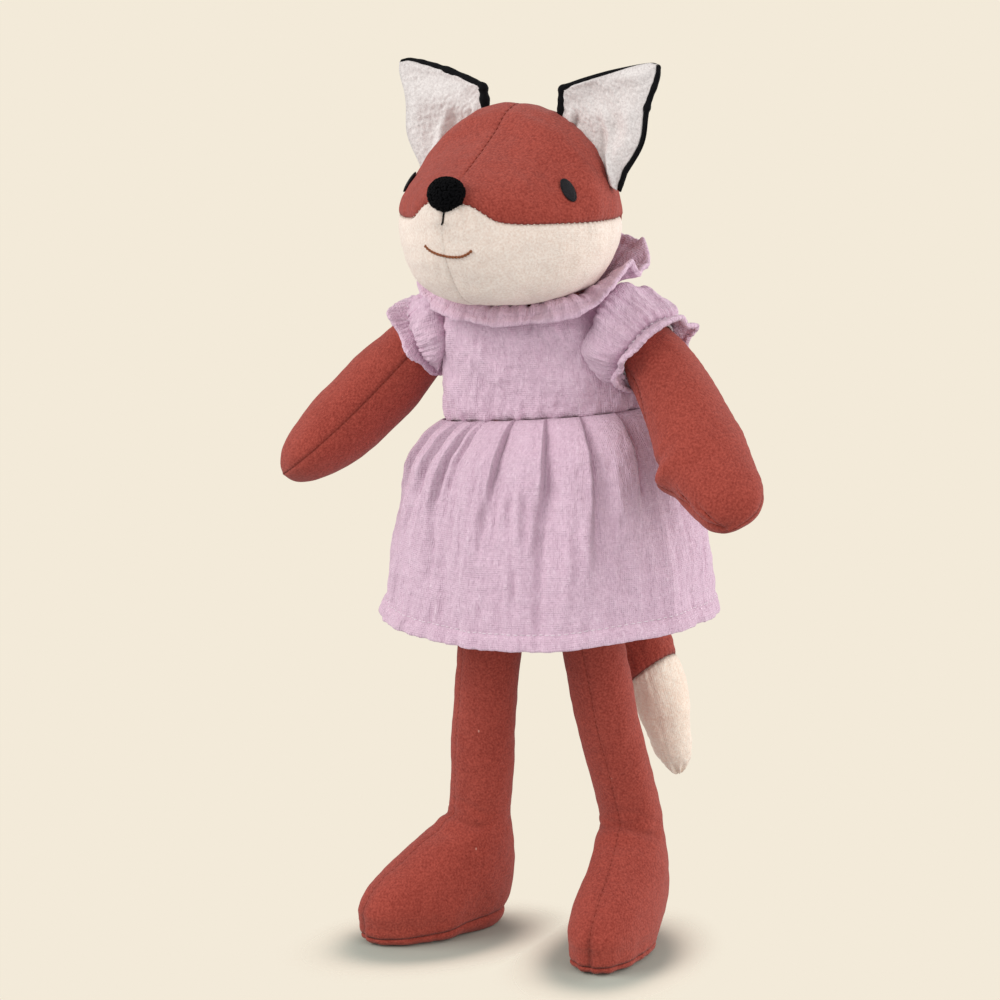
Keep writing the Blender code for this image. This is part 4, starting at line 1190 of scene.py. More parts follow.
def head(finishes):
    """The rust hood and the cream face: one stuffed surface, parted along the cheek and side seams.

    It is head_shape, pressed in by depth * exp(-distance / width) along every seam and raised by ripples.
    """
    side_t = math.acos(1 - 2 * (HEAD_BACK - SIDE_SEAM_Y) / HEAD_LENGTH)
    back_rows, half = 61, 124
    t = np.r_[np.linspace(0, side_t, back_rows + 1)[:-1], np.linspace(side_t, math.pi, 176)][:, None]
    seam = cheek_seam(t[:, 0])[:, None]
    far = np.cumsum(np.abs(np.gradient(t[:, 0])))[:, None] * HEAD_LENGTH / 2
    scalloped = (seam < math.pi / 2) & (t > side_t + 0.04)
    seam = np.where(scalloped, seam + 0.003 * np.sin(far * TURN / 0.0024), seam)
    seam = np.minimum(seam, math.pi / 2)
    s = np.linspace(0, 1, half + 1)[None]
    top = seam + (math.pi - 2 * seam) * s
    low = math.pi - seam + (math.pi + 2 * seam) * s
    theta = np.concatenate([top[:, :-1], low[:, :-1]], 1)
    grid = head_shape(t, theta)
    normal = head_facing(t, theta)
    radius = np.hypot(grid[..., 0], grid[..., 2] - CHEEK_LEVEL)
    near = np.minimum(angle_off(theta, seam), angle_off(theta, math.pi - seam))
    middle, below = np.abs(grid[..., 0]), np.sin(theta) < 0
    cheek = near * np.maximum(radius, 0.004) + 0.02 * (t < side_t - 0.001)
    flank = np.abs(grid[..., 1] - SIDE_SEAM_Y) / np.maximum(np.sin(t), 0.4)
    distances = {
        "cheek": cheek,
        "flank": flank + ELSEWHERE * (np.sin(theta) > 0.02),
        "brow": middle + ELSEWHERE * below,
        "chin": middle + ELSEWHERE * ((np.sin(theta) > 0) | (t < side_t)),
    }
    press, shade = 0.0, 0.0
    for name, (depth, width, dark, spread) in HEAD_SEAMS.items():
        press = press + depth * fade(distances[name], width)
        shade = np.maximum(shade, dark * fade(distances[name], spread))
    pucker = np.sin((grid[..., 1] + 0.6 * grid[..., 0]) / 0.0031 * TURN) * 0.00014 * fade(cheek, 0.0028)
    relief = lumps(grid, (0.00032, 0.026, 51), (0.00009, 0.007, 52))
    swell = 0.0003 * ease(cheek, 0.0, 0.008) - 0.0007 + relief
    grid = raised(grid, swell + pucker - press, normal)
    whole = patch(grid, lengths(grid), crease=shade)
    row, column = np.divmod(np.arange(len(whole["faces"])), 2 * half)
    hood = (row < back_rows) | (column < half)
    for name, mask, finish, slot, solid in (
        ("hood_sewn", hood, "rust", "rust_cotton", "head_hood"),
        ("face_sewn", ~hood, "cream", "cream_cotton", "face_panel"),
    ):
        part = welded(dict(whole, faces=whole["faces"][mask], uv=whole["uv"][mask]))
        part = stuffed(part, HEAD_MIDDLE, 0.0012)
        made = piece(name, finishes[finish], "head", part, slot=slot, replaces=[solid])

    def sewn(mask, column, lift, *sizes, sink):
        path, up = grid[mask, column], normal[mask, column]
        return stitches(path + up * lift, up, *sizes, sink=sink)

    t = t[:, 0]
    crown = half // 2
    upper = (t > 0.35) & (grid[:, crown, 2] > 0.3045)
    brow = sewn(upper, crown, 0.0, 0.0024, 0.0013, 0.00024, sink=-0.00006)
    piece("brow_stitching", finishes["rust_thread"], "head", brow, slot="rust_cotton")
    lower = (t > side_t + 0.2) & (t < 2.95)
    chin = sewn(lower, half + crown, 0.0, 0.0024, 0.0014, 0.00013, sink=0.00003)
    piece("chin_stitching", finishes["cream_thread"], "head", chin, slot="cream_cotton")
    cheeks = (t > side_t + 0.25) & (t < 2.86)
    dots = [sewn(cheeks, column, 0.0003, 0.0023, 0.0007, 0.00020, sink=-0.0001) for column in (0, half)]
    piece("cheek_stitching", finishes["cream_thread"], "head", *dots, slot="cream_cotton")
    return grid


def surface_tree(grid):
    """A search tree of a closed grid's faces."""
    whole = patch(grid)
    return BVHTree.FromPolygons(whole["points"].tolist(), whole["faces"].tolist())


def onto(tree, points, way, lift=0.0):
    """Points dropped along a direction onto a surface, with the surface's outward direction there."""
    way = Vector(way)
    hits = [tree.ray_cast(Vector(p) - way * 0.05, way) for p in points]
    place = np.array([h[0] for h in hits])
    normal = np.array([h[1] for h in hits])
    normal *= -np.sign(normal @ np.array(way))[:, None]
    return place + normal * lift, normal


def eye(side, sign, tree, finishes):
    """A satin-stitched oval: a low dome under slanting threads, with a corded border.

    Thread k crosses the oval at height h, from -w sqrt(1 - h h) to w sqrt(1 - h h), arched over the dome.
    """
    (place,), (normal,) = onto(tree, [(0, EYE_Y, EYE_LEVEL)], (-sign, 0, 0))
    tall = np.array([0.0, -math.sin(EYE_LEAN), math.cos(EYE_LEAN)])
    tall = unit(tall - normal * (tall @ normal))
    half_w, half_h = EYE_WIDTH * 0.32, EYE_HEIGHT * 0.385
    wide, tall = np.cross(tall, normal) * half_w, tall * half_h
    dome, base = 0.0008, -0.0014

    def lifted(points, height):
        return place + points + np.asarray(height)[..., None] * normal

    shares = np.sin(np.linspace(0, math.pi / 2, 7))[::-1][:-1, None]
    rim = rings(44)
    rise = np.sqrt(np.maximum(1 - shares**2, 0)) * dome - 0.0007 * shares**8
    bed = lifted(shares[..., None] * round_way(rim, wide, tall), rise + 0 * rim)
    ends = (place + normal * base, place + normal * dome)
    parts = [patch(np.concatenate([bed[:1] + normal * base, bed]), ends=ends)]

    h = np.linspace(-0.93, 0.93, 26)[:, None]
    reach = np.sqrt(1 - h**2)
    s = np.linspace(-1, 1, 9)
    slant = 0.28 * 0.98 * half_w / half_h * s * reach
    arch = 0.0005 + 0.00055 * np.sqrt(1 - 0.9 * s**2) * reach
    line = lifted((0.98 * reach * s)[..., None] * wide + (h + slant)[..., None] * tall, arch)
    parts.append(tubes(line, np.broadcast_to(normal, line.shape), 0.00026))

    a = rings(46)
    out, ahead = round_way(a, wide, tall), unit(round_way(a, tall, -wide))
    s = np.linspace(-1, 1, 7)[:, None]
    wrap = out[:, None] * (1 + 0.11 * s) + ahead[:, None] * 0.0003 * s
    wrap = lifted(wrap, 0.0002 + 0.00045 * np.sqrt(1 - 0.85 * s[:, 0] ** 2))
    parts.append(tubes(wrap, np.broadcast_to(normal, wrap.shape), 0.00022))

    border = lifted(round_way(np.linspace(0, TURN, 70), wide, tall), 0.00035)
    parts.append(plied(border, normal, 0.00038, 0.0016))
    thread, solids = finishes["eye_thread"], [f"eye_{side}"]
    piece(f"eye_{side}_satin", thread, "head", *parts, slot="black_thread", replaces=solids)


NOSE_LOOPS = 560
NOSE_HAIRS = 1100


def ball_way(turn, z):
    """Directions from the middle of a ball, from their turn and their share of the way to its front."""
    return np.stack([np.sqrt(1 - z**2) * np.cos(turn), np.sqrt(1 - z**2) * np.sin(turn), z], -1)


def nose(finishes):
    """A knitted dome: a hidden core, short thick loops of yarn spread over it, and a halo of fluff."""
    ahead = np.array([0, -math.cos(NOSE_LEAN), -math.sin(NOSE_LEAN)])
    rise = np.array([0, -math.sin(NOSE_LEAN), math.cos(NOSE_LEAN)])
    frame = np.stack([np.cross(ahead, rise), rise, ahead])
    half = np.array([NOSE_SIZE[0], NOSE_SIZE[2], NOSE_SIZE[1]]) * 0.46

    def shell(way, grow=1.0):
        return np.array(NOSE_PLACE) + (way * half * grow) @ frame

    lat = np.linspace(0, math.pi, 26)[1:-1, None]
    core = shell(ball_way(rings(40)[None], np.cos(lat) + 0 * rings(40)), 0.91)
    parts = [patch(core, ends=(shell(UP * 0.93), shell(UP * -0.93)))]

    random = np.random.default_rng(61)
    k = np.arange(NOSE_LOOPS)
    way = ball_way(k * math.pi * (3 - math.sqrt(5)), 1 - (k + 0.5) / NOSE_LOOPS * 1.55)
    way = unit(way + random.normal(scale=0.045, size=way.shape))
    tangent = unit(np.cross(way, random.normal(size=way.shape)))
    t = np.linspace(-1, 1, 6)[:, None]
    length = random.uniform(0.08, 0.15, NOSE_LOOPS)[:, None, None]
    bend = unit(way[:, None] + tangent[:, None] * t * length)
    height = 0.93 + 0.055 * (1 - t**2) + random.uniform(-0.02, 0.04, NOSE_LOOPS)[:, None, None]
    thick = 0.00047 * (0.6 + 0.4 * np.sqrt(1 - t[:, 0] ** 2))
    parts.append(tubes(shell(bend, height), unit((bend / half) @ frame), thick))

    z = random.uniform(-0.5, 1, NOSE_HAIRS)
    way = ball_way(random.uniform(0, TURN, NOSE_HAIRS), z)
    drift = random.normal(scale=0.22, size=way.shape)
    t = np.linspace(0, 1, 5)[:, None]
    height = 0.95 + t * random.uniform(0.04, 0.15, NOSE_HAIRS)[:, None, None]
    line = shell(unit(way[:, None] + drift[:, None] * t), height)
    across = np.broadcast_to(unit(np.cross(way, UP))[:, None], line.shape)
    parts.append(tubes(line, across, 0.00007 * (1.2 - t[:, 0]), 3))
    piece("nose_knitted", finishes["yarn"], "head", *parts, slot="black_knit", replaces=["nose"])


# The x and z of points along the smile, and the top and bottom of the stitch below the nose
MOUTH = (
    (-0.0088, 0.2799),
    (-0.0080, 0.2791),
    (-0.0056, 0.2779),
    (-0.0025, 0.27705),
    (0.0005, 0.2766),
    (0.0035, 0.2764),
    (0.0064, 0.2766),
    (0.0088, 0.2775),
    (0.0107, 0.2790),
)
NOSE_STITCH = (0.2935, 0.2878)
BEFORE_FACE = -0.04


def mouth(tree, finishes):
    """A stitched smile, one twisted thread laid on the face, and the stitch between it and the nose."""
    line = np.array([(x, 0.0, z) for x, z in MOUTH])
    line = softened(along(line, np.linspace(0, walked(line)[-1], 90)), 6)
    place, normal = onto(tree, line + BACKWARDS * BEFORE_FACE, BACKWARDS, 0.00025)
    smile = plied(softened(place, 10), normal, 0.00052, 0.0026)
    piece("mouth_thread", finishes["brown_thread"], "head", smile)
    line = xyz(-0.0003, BEFORE_FACE, np.linspace(*NOSE_STITCH, 16))
    place, normal = onto(tree, line, BACKWARDS, 0.00015)
    piece("nose_stitch", finishes["yarn"], "head", plied(place, normal, 0.00028, 0.0014), slot="black_knit")


def ear_point(u, v, sign):
    """A point of an ear: u from its inner to its outer edge, v from its root to its tip edge.

    The four corners are blended, then the outer edge is bowed out and the top up, and the middle cupped.
    """
    u, v = np.broadcast_arrays(np.asarray(u, float), np.asarray(v, float))
    inner, outer, corner, tip = (np.array(p) for p in (EAR_INNER, EAR_OUTER, EAR_CORNER, EAR_TIP))
    w = np.maximum(v, 0)
    s, share = u[..., None], w[..., None]
    point = (inner + (outer - inner) * s) * (1 - share) + (corner + (tip - corner) * s) * share
    down = unit((inner + outer) / 2 - (corner + tip) / 2)
    point = point + down * (np.minimum(v, 0) * -0.024)[..., None]
    arch = 4 * u * (1 - u)
    point[..., 0] += (0.0034 * hump(w, 0.27, 0.24) + 0.0005 * hump(w, 0.82, 0.1)) * u**2.2
    point[..., 2] += 0.0012 * arch * w**3
    blunt = ease(np.clip(u, 0, 1) * np.clip(w, 0, 1), 0.86, 1.0)[..., None]
    point = point - unit(tip - (inner + outer) / 2) * 0.0016 * blunt
    point[..., 1] += 0.0052 * arch * (1 - 0.75 * w**2) * ease(v, -0.4, 0.15)
    point[..., 0] *= sign
    return point


# Radius of the black roll from an ear's root along its outer edge, its top edge (1 to 2) and its inner edge
EAR_ROLLS = {
    "left": (
        (0.00, 0.0010),
        (0.30, 0.0008),
        (0.52, 0.0005),
        (0.74, 0.0014),
        (0.90, 0.0009),
        (1.00, 0.0004),
        (1.20, 0.0001),
        (1.45, 0.0001),
        (1.75, 0.0005),
        (1.93, 0.0009),
        (2.08, 0.0017),
        (2.50, 0.0015),
        (3.00, 0.0010),
    ),
    "right": (
        (0.00, 0.0001),
        (0.85, 0.0001),
        (1.02, 0.0004),
        (1.30, 0.0009),
        (1.70, 0.0012),
        (1.93, 0.0013),
        (2.10, 0.0018),
        (2.50, 0.0018),
        (3.00, 0.0012),
    ),
}
EAR_SEEDS = {"left": 71, "right": 69}
LINING_MARGIN = 0.018
# The linen's reach across the ear, and how much further its outer top reaches
LINING_REACH = {"left": (1 - 2 * LINING_MARGIN, 0.03), "right": (1.016 - LINING_MARGIN, 0.0)}


def ear(side, sign, finishes):
    """An ear: a crinkled linen front with a folded pleat, and a black back that rolls round to the front."""
    u = np.linspace(0, 1, 84)[None]
    v = np.linspace(-0.3, 1, 92)[:, None]
    away = np.array([sign * 0.035, 0.2, 0.325])
    seed = EAR_SEEDS[side]
    edge = np.minimum(np.minimum(u, 1 - u), (1 - v).clip(0)) * 0.03

    across, extra = LINING_REACH[side]
    top = 1 - LINING_MARGIN + extra * ease(u, 0.35, 0.8)
    front = ear_point(LINING_MARGIN + u * across, v * np.where(v > 0, top, 1), sign)
    uv = lengths(front, around=False)
    fold = -0.0022 * hump(u - 0.16 - 0.05 * v, 0.0, 0.035) * ease(0.42 - v, 0.0, 0.4) * ease(v, -0.3, 0.0)
    pleat = 0.0021 * hump(u - 0.085 - 0.03 * v, 0.0, 0.045) * ease(0.62 - v, 0.0, 0.5)
    sag = lumps(front, (0.0012, 0.018, seed), (0.00014, 0.0075, seed + 3))
    slant, upper = u * 0.8 + v * 0.55, ease(0.75 - v, 0, 0.3)
    ridge = 0.0018 * hump(slant, 0.62, 0.06) * ease(u, 0.35, 0.7) * upper
    valley = 0.0018 * hump(slant, 0.52, 0.05) * ease(u, 0.3, 0.7) * upper
    fine = crinkle(uv[..., 0], uv[..., 1], 0.0020, 0.004, seed + 5)
    fine = 0.00007 * (fine + crinkle(uv[..., 1], uv[..., 0], 0.0020, 0.004, seed + 6))
    puff = 0.0013 * (1 - fade(edge, 0.0022))
    height = puff + (fold + pleat + sag * 0.8 + ridge - valley) * ease(edge, 0.0, 0.004)
    height = height + fine * ease(edge, 0, 0.001)
    front = raised(front, height, facing(front, around=False, away=away))
    shade = np.clip(fade(edge, 0.0006) * 0.35 - fold * 140, 0, 0.5)
    lining = wall(front, uv, 0.0008, around=False, away=away, crease=shade)
    name, solids = f"ear_{side}_linen", [f"ear_{side}_lining"]
    made = piece(name, finishes["linen"], "head", lining, slot="linen_lining", replaces=solids)

    back = ear_point(u, v, sign)
    normal = facing(back, around=False, away=away)
    back = raised(back, -(0.0007 + 0.0024 * (1 - fade(edge, 0.003))), normal)
    back = raised(back, -lumps(back, (0.0004, 0.012, seed + 8)) * ease(edge, 0, 0.004), normal)
    parts = [wall(back, lengths(back, around=False), 0.0009, around=False, away=away)]
    s = np.linspace(0, 1, 90)
    outer_edge = ear_point(1.0, -0.25 + 1.25 * s, sign)
    top_edge = ear_point(1 - s, 1.0, sign)
    inner_edge = ear_point(0.0, 1 - 1.25 * s, sign)
    path = softened(np.concatenate([outer_edge[:-1], top_edge[:-1], inner_edge]), 4)
    radius = smooth(EAR_ROLLS[side], np.linspace(0, 3, len(path)))[:, 0]
    behind = -facing(ear_point(u, v, sign), around=False, away=away).mean((0, 1))
    behind = np.broadcast_to(behind, path.shape)
    bead = path + behind * (radius * 0.75)[:, None]
    parts.append(tubes(bead, behind, radius * (1 + lumps(path, (0.10, 0.004, seed + 9))), 12))
    name, solids = f"ear_{side}_black_back", [f"ear_{side}_back"]
    piece(name, finishes["black"], "head", *parts, slot="black_cotton", replaces=solids)


# Arms and sleeves


def arm_middle(side, place):
    """A point of the arm's middle line, and the directions ahead, in the seam's plane and across it."""
    scale = ARM_LENGTH * np.array([1, -1, -1])
    p = [np.array(ARM_ROOT) + scale * np.array(share) for share in ARM_LINE_SHARES]
    t = np.asarray(place, float)[..., None]
    q = 1 - t
    middle = q**3 * p[0] + 3 * q**2 * t * p[1] + 3 * q * t**2 * p[2] + t**3 * p[3]
    ahead = q**2 * (p[1] - p[0]) + 2 * q * t * (p[2] - p[1]) + t**2 * (p[3] - p[2])
    mirror = np.array([1 if side == "left" else -1, 1, 1])
    middle, ahead = middle * mirror, unit(ahead * mirror)
    seam = np.array(ARM_SEAMS[side])
    seam = unit(seam - ahead * (ahead @ seam)[..., None])
    return middle, ahead, seam, np.cross(ahead, seam)


def chest_side_at(y, z):
    """The bodice's half width at the level that a point swings down to about the shoulder."""
    return chest_side(SHOULDER_LEVEL - np.hypot(y - ARM_ROOT[1], z - ARM_ROOT[2]))


def arm_ring(side, place, theta, grow, clear=0.0029):
    """Points round the arm, grown outwards and kept clear of the chest."""
    sign = 1 if side == "left" else -1
    place, theta, grow = np.broadcast_arrays(np.asarray(place, float), theta, grow)
    middle, _, seam, cross = arm_middle(side, place)
    sizes = smooth(turned_places(ARM_SHARES, np.arcsin), np.arcsin(np.clip(place, 0, 1)))
    wide = (ARM_HALF_WIDTH * sizes[..., 0] + grow) * np.cos(theta)
    thick = (ARM_HALF_THICKNESS * sizes[..., 1] + grow) * np.sin(theta)
    ring = middle + wide[..., None] * seam + thick[..., None] * cross
    ring[..., 0] = sign * np.maximum(sign * ring[..., 0], chest_side_at(ring[..., 1], ring[..., 2]) + clear)
    return ring


# Places along and angles round the hand of its two darts
ARM_DARTS = ((0.905, math.pi - 0.55), (0.975, math.pi - 0.95))
ARM_KNUCKLES = {"left": 0.0024, "right": 0.0008}
# How far the inner seam drifts round the upper arm
ARM_DRIFTS = {"left": 0.5, "right": 0.0}
# Height, place and width of the thumb and the hollows before and behind it
THUMB_SHAPE = ((0.0030, 0.800, 0.028), (-0.0013, 0.745, 0.022), (-0.0058, 0.925, 0.085))


def arm(side, sign, finishes):
    """The stuffed arm and its mitten hand, with a sewn seam on each side and a thumb on one of them."""
    columns, count = 132, 150
    theta = rings(columns)[None]
    place = np.sin(np.linspace(0.0, math.pi / 2, count))[:-1, None]
    grid = arm_ring(side, place, theta, 0.0)
    near_outer = np.minimum(theta, TURN - theta)
    thumb = sum(height * hump(place, middle, width) for height, middle, width in THUMB_SHAPE)
    thumb = thumb * hump(np.abs(theta - math.pi), 0, 0.80)
    knuckle = ARM_KNUCKLES[side] * hump(place, 0.955, 0.06) * hump(near_outer, 0, 0.8)
    drift = ARM_DRIFTS[side] * (1 - ease(place, 0.35, 0.72))
    near = np.minimum(near_outer, np.abs(theta - math.pi + drift)) * ARM_HALF_THICKNESS
    sleeved = ease(place, 0.1, 0.3)
    press = 0.00055 * fade(near, 0.0009) * sleeved
    far = place * ARM_LENGTH
    pucker = 0.00012 * np.sin(far / 0.0034 * TURN + 2 * ripples(grid, 0.02, 81)) * fade(near, 0.0030)
    relief = lumps(grid, (0.00014, 0.024, 82 + sign), (0.00006, 0.006, 84 + sign))
    for level, angle in ARM_DARTS:
        relief = relief - 0.0008 * hump(place, level, 0.03) * hump(theta, angle, 0.07)
    grid = raised(grid, thumb + knuckle + relief + pucker - press)
    shade = np.broadcast_to(0.85 * fade(near, 0.0005) * sleeved, grid.shape[:2])
    root = grid[0].copy()
    root[:, 0] = sign * (chest_side_at(root[:, 1], root[:, 2]) + 0.0006)
    shell = np.concatenate([root[None], grid])
    ends = (root.mean(0), arm_middle(side, 1.0)[0])
    part = patch(shell, lengths(shell), ends=ends, crease=np.concatenate([shade[:1], shade]))
    body, rust = f"{side}_arm", finishes["rust"]
    made = piece(f"arm_{side}_stuffed", rust, body, part, slot="rust_cotton", replaces=[f"arm_{side}"])

    normal = facing(grid)
    rows = np.arange(30, count - 3)
    seams = (0 * drift[rows, 0], (math.pi - drift[rows, 0]) / TURN * columns)
    sewn = [
        stitches(at(grid, rows, seam), at(normal, rows, seam), 0.0021, 0.0013, 0.00020, sink=0.00002)
        for seam in seams
    ]
    for level, angle in ARM_DARTS:
        rows = math.asin(level) / (math.pi / 2) * (count - 1) + np.linspace(-5, 5, 8)
        column = angle / TURN * columns
        path, up = at(grid, rows, column), at(normal, rows, column)
        sewn.append(stitches(path, up, 0.0016, 0.0011, 0.00018, sink=-0.0001))
    piece(f"arm_{side}_stitching", finishes["rust_thread"], body, *sewn, slot="rust_cotton")


ARMHOLE_HALF_DEPTH = 0.0172
ARMHOLE_RISE = 0.0118
ARMHOLE_DROP = 0.0155
ARMHOLE_GATHERS = 25
CUFF_GATHERS = 26
CUFF_ENDS = 9
# Distances before the cuff of two points on the arm's middle line, which the sleeve works out and does not
# use
BLEND_START = 0.0165
BLEND_END = 0.0015


def sleeve(side, sign, finishes):
    """The puffed sleeve: gathered into the armhole, drawn in by elastic, with a ruffle below it.

    Between armhole A and elastic E it is (1 - w) A + w E + puff * sin(pi s) ** 0.72 * out, plus gathers at
    both ends.
    """
    columns = 420
    theta = rings(columns)
    _, _, seam, cross = arm_middle(side, 0.0)
    way = round_way(theta, seam, cross)
    tall = np.where(way[:, 2] > 0, ARMHOLE_RISE, ARMHOLE_DROP)
    loop = 1 / np.sqrt((way[:, 1] / ARMHOLE_HALF_DEPTH) ** 2 + (way[:, 2] / tall) ** 2)
    y, z = ARM_ROOT[1] + loop * way[:, 1], ARM_ROOT[2] + loop * way[:, 2]
    armhole = xyz(sign * (chest_x(y, z) + 0.0004), y, z)
    snug = 2 * GAP + ELASTIC + CLOTH
    cinch = arm_ring(side, ELASTIC_SHARE, theta, snug)

    s = np.linspace(0, 1, 46)[:, None]
    _, _, seam, cross = arm_middle(side, ELASTIC_SHARE * s)
    out = round_way(theta, seam, cross)
    w = ease(s) * 0.5 + s * 0.5
    crown = np.stack([np.cos(theta), np.sin(theta)], -1)
    round_place = crown * 0.0175
    swell = ripples(crown * 0.02, 0.017, 91 + sign)
    arch = np.sin(math.pi * s) ** 0.72
    full = ease(way[:, 2], -1.15, 0.1)
    cap = 0.0058 * ease(way[:, 2], 0.1, 0.95) * hump(s, 0.22, 0.24) * ease(s, 0.0, 0.1)
    puff = (0.0048 + 0.0007 * (1 - out[..., 2]) + 0.0015 * swell) * arch * full + cap
    shirr = np.cos(CUFF_GATHERS * theta + 2.6 * ripples(round_place, 0.014, 93 + sign))
    tuck = np.cos(ARMHOLE_GATHERS * theta + 2.5 * ripples(round_place, 0.017, 95 + sign))
    wide, long = np.broadcast_to(round_place, (*puff.shape, 2)), np.broadcast_to(s * 0.008, puff.shape)
    folds = ripples(np.concatenate([wide, long[..., None]], -1), 0.0072, 97 + sign, 40)
    gathers = 0.00085 * shirr * fade(1 - s, 0.30) + 0.0006 * tuck * fade(s, 0.28)
    height = puff + gathers + 0.00055 * folds * arch
    body = armhole * (1 - w[..., None]) + cinch * w[..., None] + out * height[..., None]

    lift = np.linspace(0, 1, 15)[1:, None]
    wave = np.cos(6 * theta + 0.8 * ripples(round_place, 0.030, 99 + sign))
    flare = (0.0048 * lift + 0.0016 * wave * lift**1.2) * (0.3 + 0.7 * full)
    flare = flare + 0.0003 * np.cos(CUFF_GATHERS * theta) * (1 - lift) ** 2
    ruffle = arm_ring(side, ELASTIC_SHARE + 0.062 * lift, theta[None], snug + flare, 0.0006)
    grid = np.concatenate([body, ruffle])
    uv = lengths(grid)
    grid = raised(grid, 0.00012 * crinkle(uv[:, :-1, 0], uv[:, :-1, 1], 0.0022, 0.006, 89 + sign))
    cuff = len(s) - 1
    rows = np.arange(len(grid))[:, None]
    shade = np.maximum(0.8 * fade(s, 0.05), 0.55 * hump(rows[: len(s)], cuff, 1.6))
    shade = np.broadcast_to(np.concatenate([shade, 0.35 * fade(lift, 0.12)]), grid.shape[:2])
    welt = 1 + 1.3 * hump(rows, len(grid) - 2.0, 1.8)
    part = wall(grid, uv, CLOTH * 0.8 * welt, crease=shade)
    name, solids = f"sleeve_{side}_puffed", [f"sleeve_{side}"]
    made = piece(name, finishes["lilac"], None, part, slot="lilac_gauze", replaces=solids)
    centre, ahead, _, _ = arm_middle(side, ELASTIC_SHARE)
    start, end = tuple(centre - ahead * BLEND_START), tuple(centre - ahead * BLEND_END)
    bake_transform(made)

    walk = np.linspace(0, columns, 700)
    path, up = at(grid, cuff + 0.6, walk), at(facing(grid), cuff + 0.6, walk)
    parts = [stitches(path, up, 0.0026, 0.0018, 0.00022, sink=-0.0001, lean=0.25)]
    random = np.random.default_rng(101 + sign)
    t = np.linspace(0, 1, 9)[:, None]
    ends = []
    for start in random.choice(len(path), CUFF_ENDS, replace=False):
        bend = random.normal(scale=0.6, size=3)
        drift = unit(up[start] * 0.8 + random.normal(scale=0.8, size=3))
        ends.append(path[start] + drift * t * random.uniform(0.0012, 0.0032) + bend * t**2 * 0.0010)
    line = np.array(ends)
    parts.append(tubes(line, np.broadcast_to(UP, line.shape), 0.00011, 4))
    name = f"cuff_{side}_thread"
    piece(name, finishes["white_thread"], f"{side}_arm", *parts, slot="white_elastic")


def cuff_elastic(side, finishes):
    """The flat elastic that draws the sleeve in: a narrow band with fine ribs across it."""
    theta = rings(240)[None]
    place = ELASTIC_SHARE + np.linspace(-0.012, 0.012, 9)[:, None]
    grid = arm_ring(side, place, theta, GAP + ELASTIC + 0.00008 * np.cos(80 * theta), 0.0018)
    part = wall(grid, lengths(grid), ELASTIC)
    name, solids = f"cuff_{side}_elastic", [f"cuff_elastic_{side}"]
    piece(name, finishes["elastic"], f"{side}_arm", part, slot="white_elastic", replaces=solids)


# Legs


def foot_ways(side):
    """The directions towards the toe and towards the foot's own left."""
    angle = TOE_ANGLES[side]
    toe = np.array([math.sin(angle), -math.cos(angle), 0.0])
    return toe, np.array([math.cos(angle), math.sin(angle), 0.0])


def foot_point(side, level, toe, heel, half_width, theta):
    """Points of an oval whose toe and heel reach differ, pointing along the foot's own angle."""
    ahead, left = foot_ways(side)
    r = oval_radius(theta, (toe + heel) / 2, half_width, 2.0)
    forward = r * np.cos(theta) + (toe - heel) / 2
    flat = forward[..., None] * ahead + (r * np.sin(theta))[..., None] * left
    return flat + np.array([*ANKLES[side], 0]) + level[..., None] * UP


def foot_reach(shares):
    """The reach of toe and heel and the half width, from their shares of the way out from the leg."""
    reach = np.array([TOE_REACH, HEEL_REACH, FOOT_HALF_WIDTH])
    return np.moveaxis(LEG_RADIUS + (reach - LEG_RADIUS) * shares, -1, 0)


def leg_grid(side, sign, theta, seam_level):
    """The smooth leg in rings: the foot, the shin that leans towards the hip, and the round top."""
    share = np.linspace(0, 1, 64)[:-1, None]
    level = seam_level + (ANKLE_LEVEL - seam_level) * share
    drop = (level - FOOT_BOTTOM) / (ANKLE_LEVEL - FOOT_BOTTOM)
    reach = foot_reach(smooth(FOOT_SHARES, np.clip(drop, 0, 1)))
    foot = foot_point(side, level, *reach, theta + 0 * share)
    move = np.array([sign * HIP_X, HIP_Y, 0]) - np.array([*ANKLES[side], 0])

    def round_ring(level, radius):
        return foot_point(side, level, radius, radius, radius, theta + 0 * radius)

    share = np.linspace(0, 1, 90)[:, None]
    level = ANKLE_LEVEL + (HIP_LEVEL - ANKLE_LEVEL) * share + 0 * theta
    shin = round_ring(level, np.full_like(level, LEG_RADIUS)) + move * share[..., None]
    lift = np.sin(np.linspace(0, math.pi / 2, 12)[1:-1])[:, None]
    radius = LEG_RADIUS * np.sqrt(1 - lift**2) + 0 * theta
    ball = round_ring(HIP_LEVEL + LEG_RADIUS * lift + 0 * theta, radius) + move
    return np.concatenate([foot, shin, ball])


def leg_posed(side, grid, theta):
    """The leg as it stands: its foot drawn in below, most at the heel, its toe out, and its shin shifted."""
    cos, height = np.cos(theta), grid[..., 2].copy()
    under = 0.0045 * ((0.024 - height) / 0.024).clip(0) ** 1.6 * (0.08 + 0.92 * ease(-cos, -0.5, 0.9))
    middle = np.array([*grid[0, :, :2].mean(0), 0])
    grid[..., :2] -= (unit((grid - middle) * (1, 1, 0)) * under[..., None])[..., :2]
    grid += foot_ways(side)[0] * (0.0022 * hump(height, 0.006, 0.012) * ease(cos, 0.3, 1.0))[..., None]
    if side == "left":
        inward = 0.0030 * ease(height, 0.045, 0.095) + 0.0012 * ease(height, 0.07, 0.13)
        instep = 0.0022 * hump(height, 0.031, 0.010) * ease(-np.sin(theta), 0.2, 0.9)
        grid[..., 0] += 0.0018 * (1 - ease(height, 0.03, 0.05)) - inward + instep
    else:
        grid[..., 0] += 0.0019 * hump(height, 0.056, 0.020) - 0.0012 * ease(height, 0.09, 0.13)
    return grid


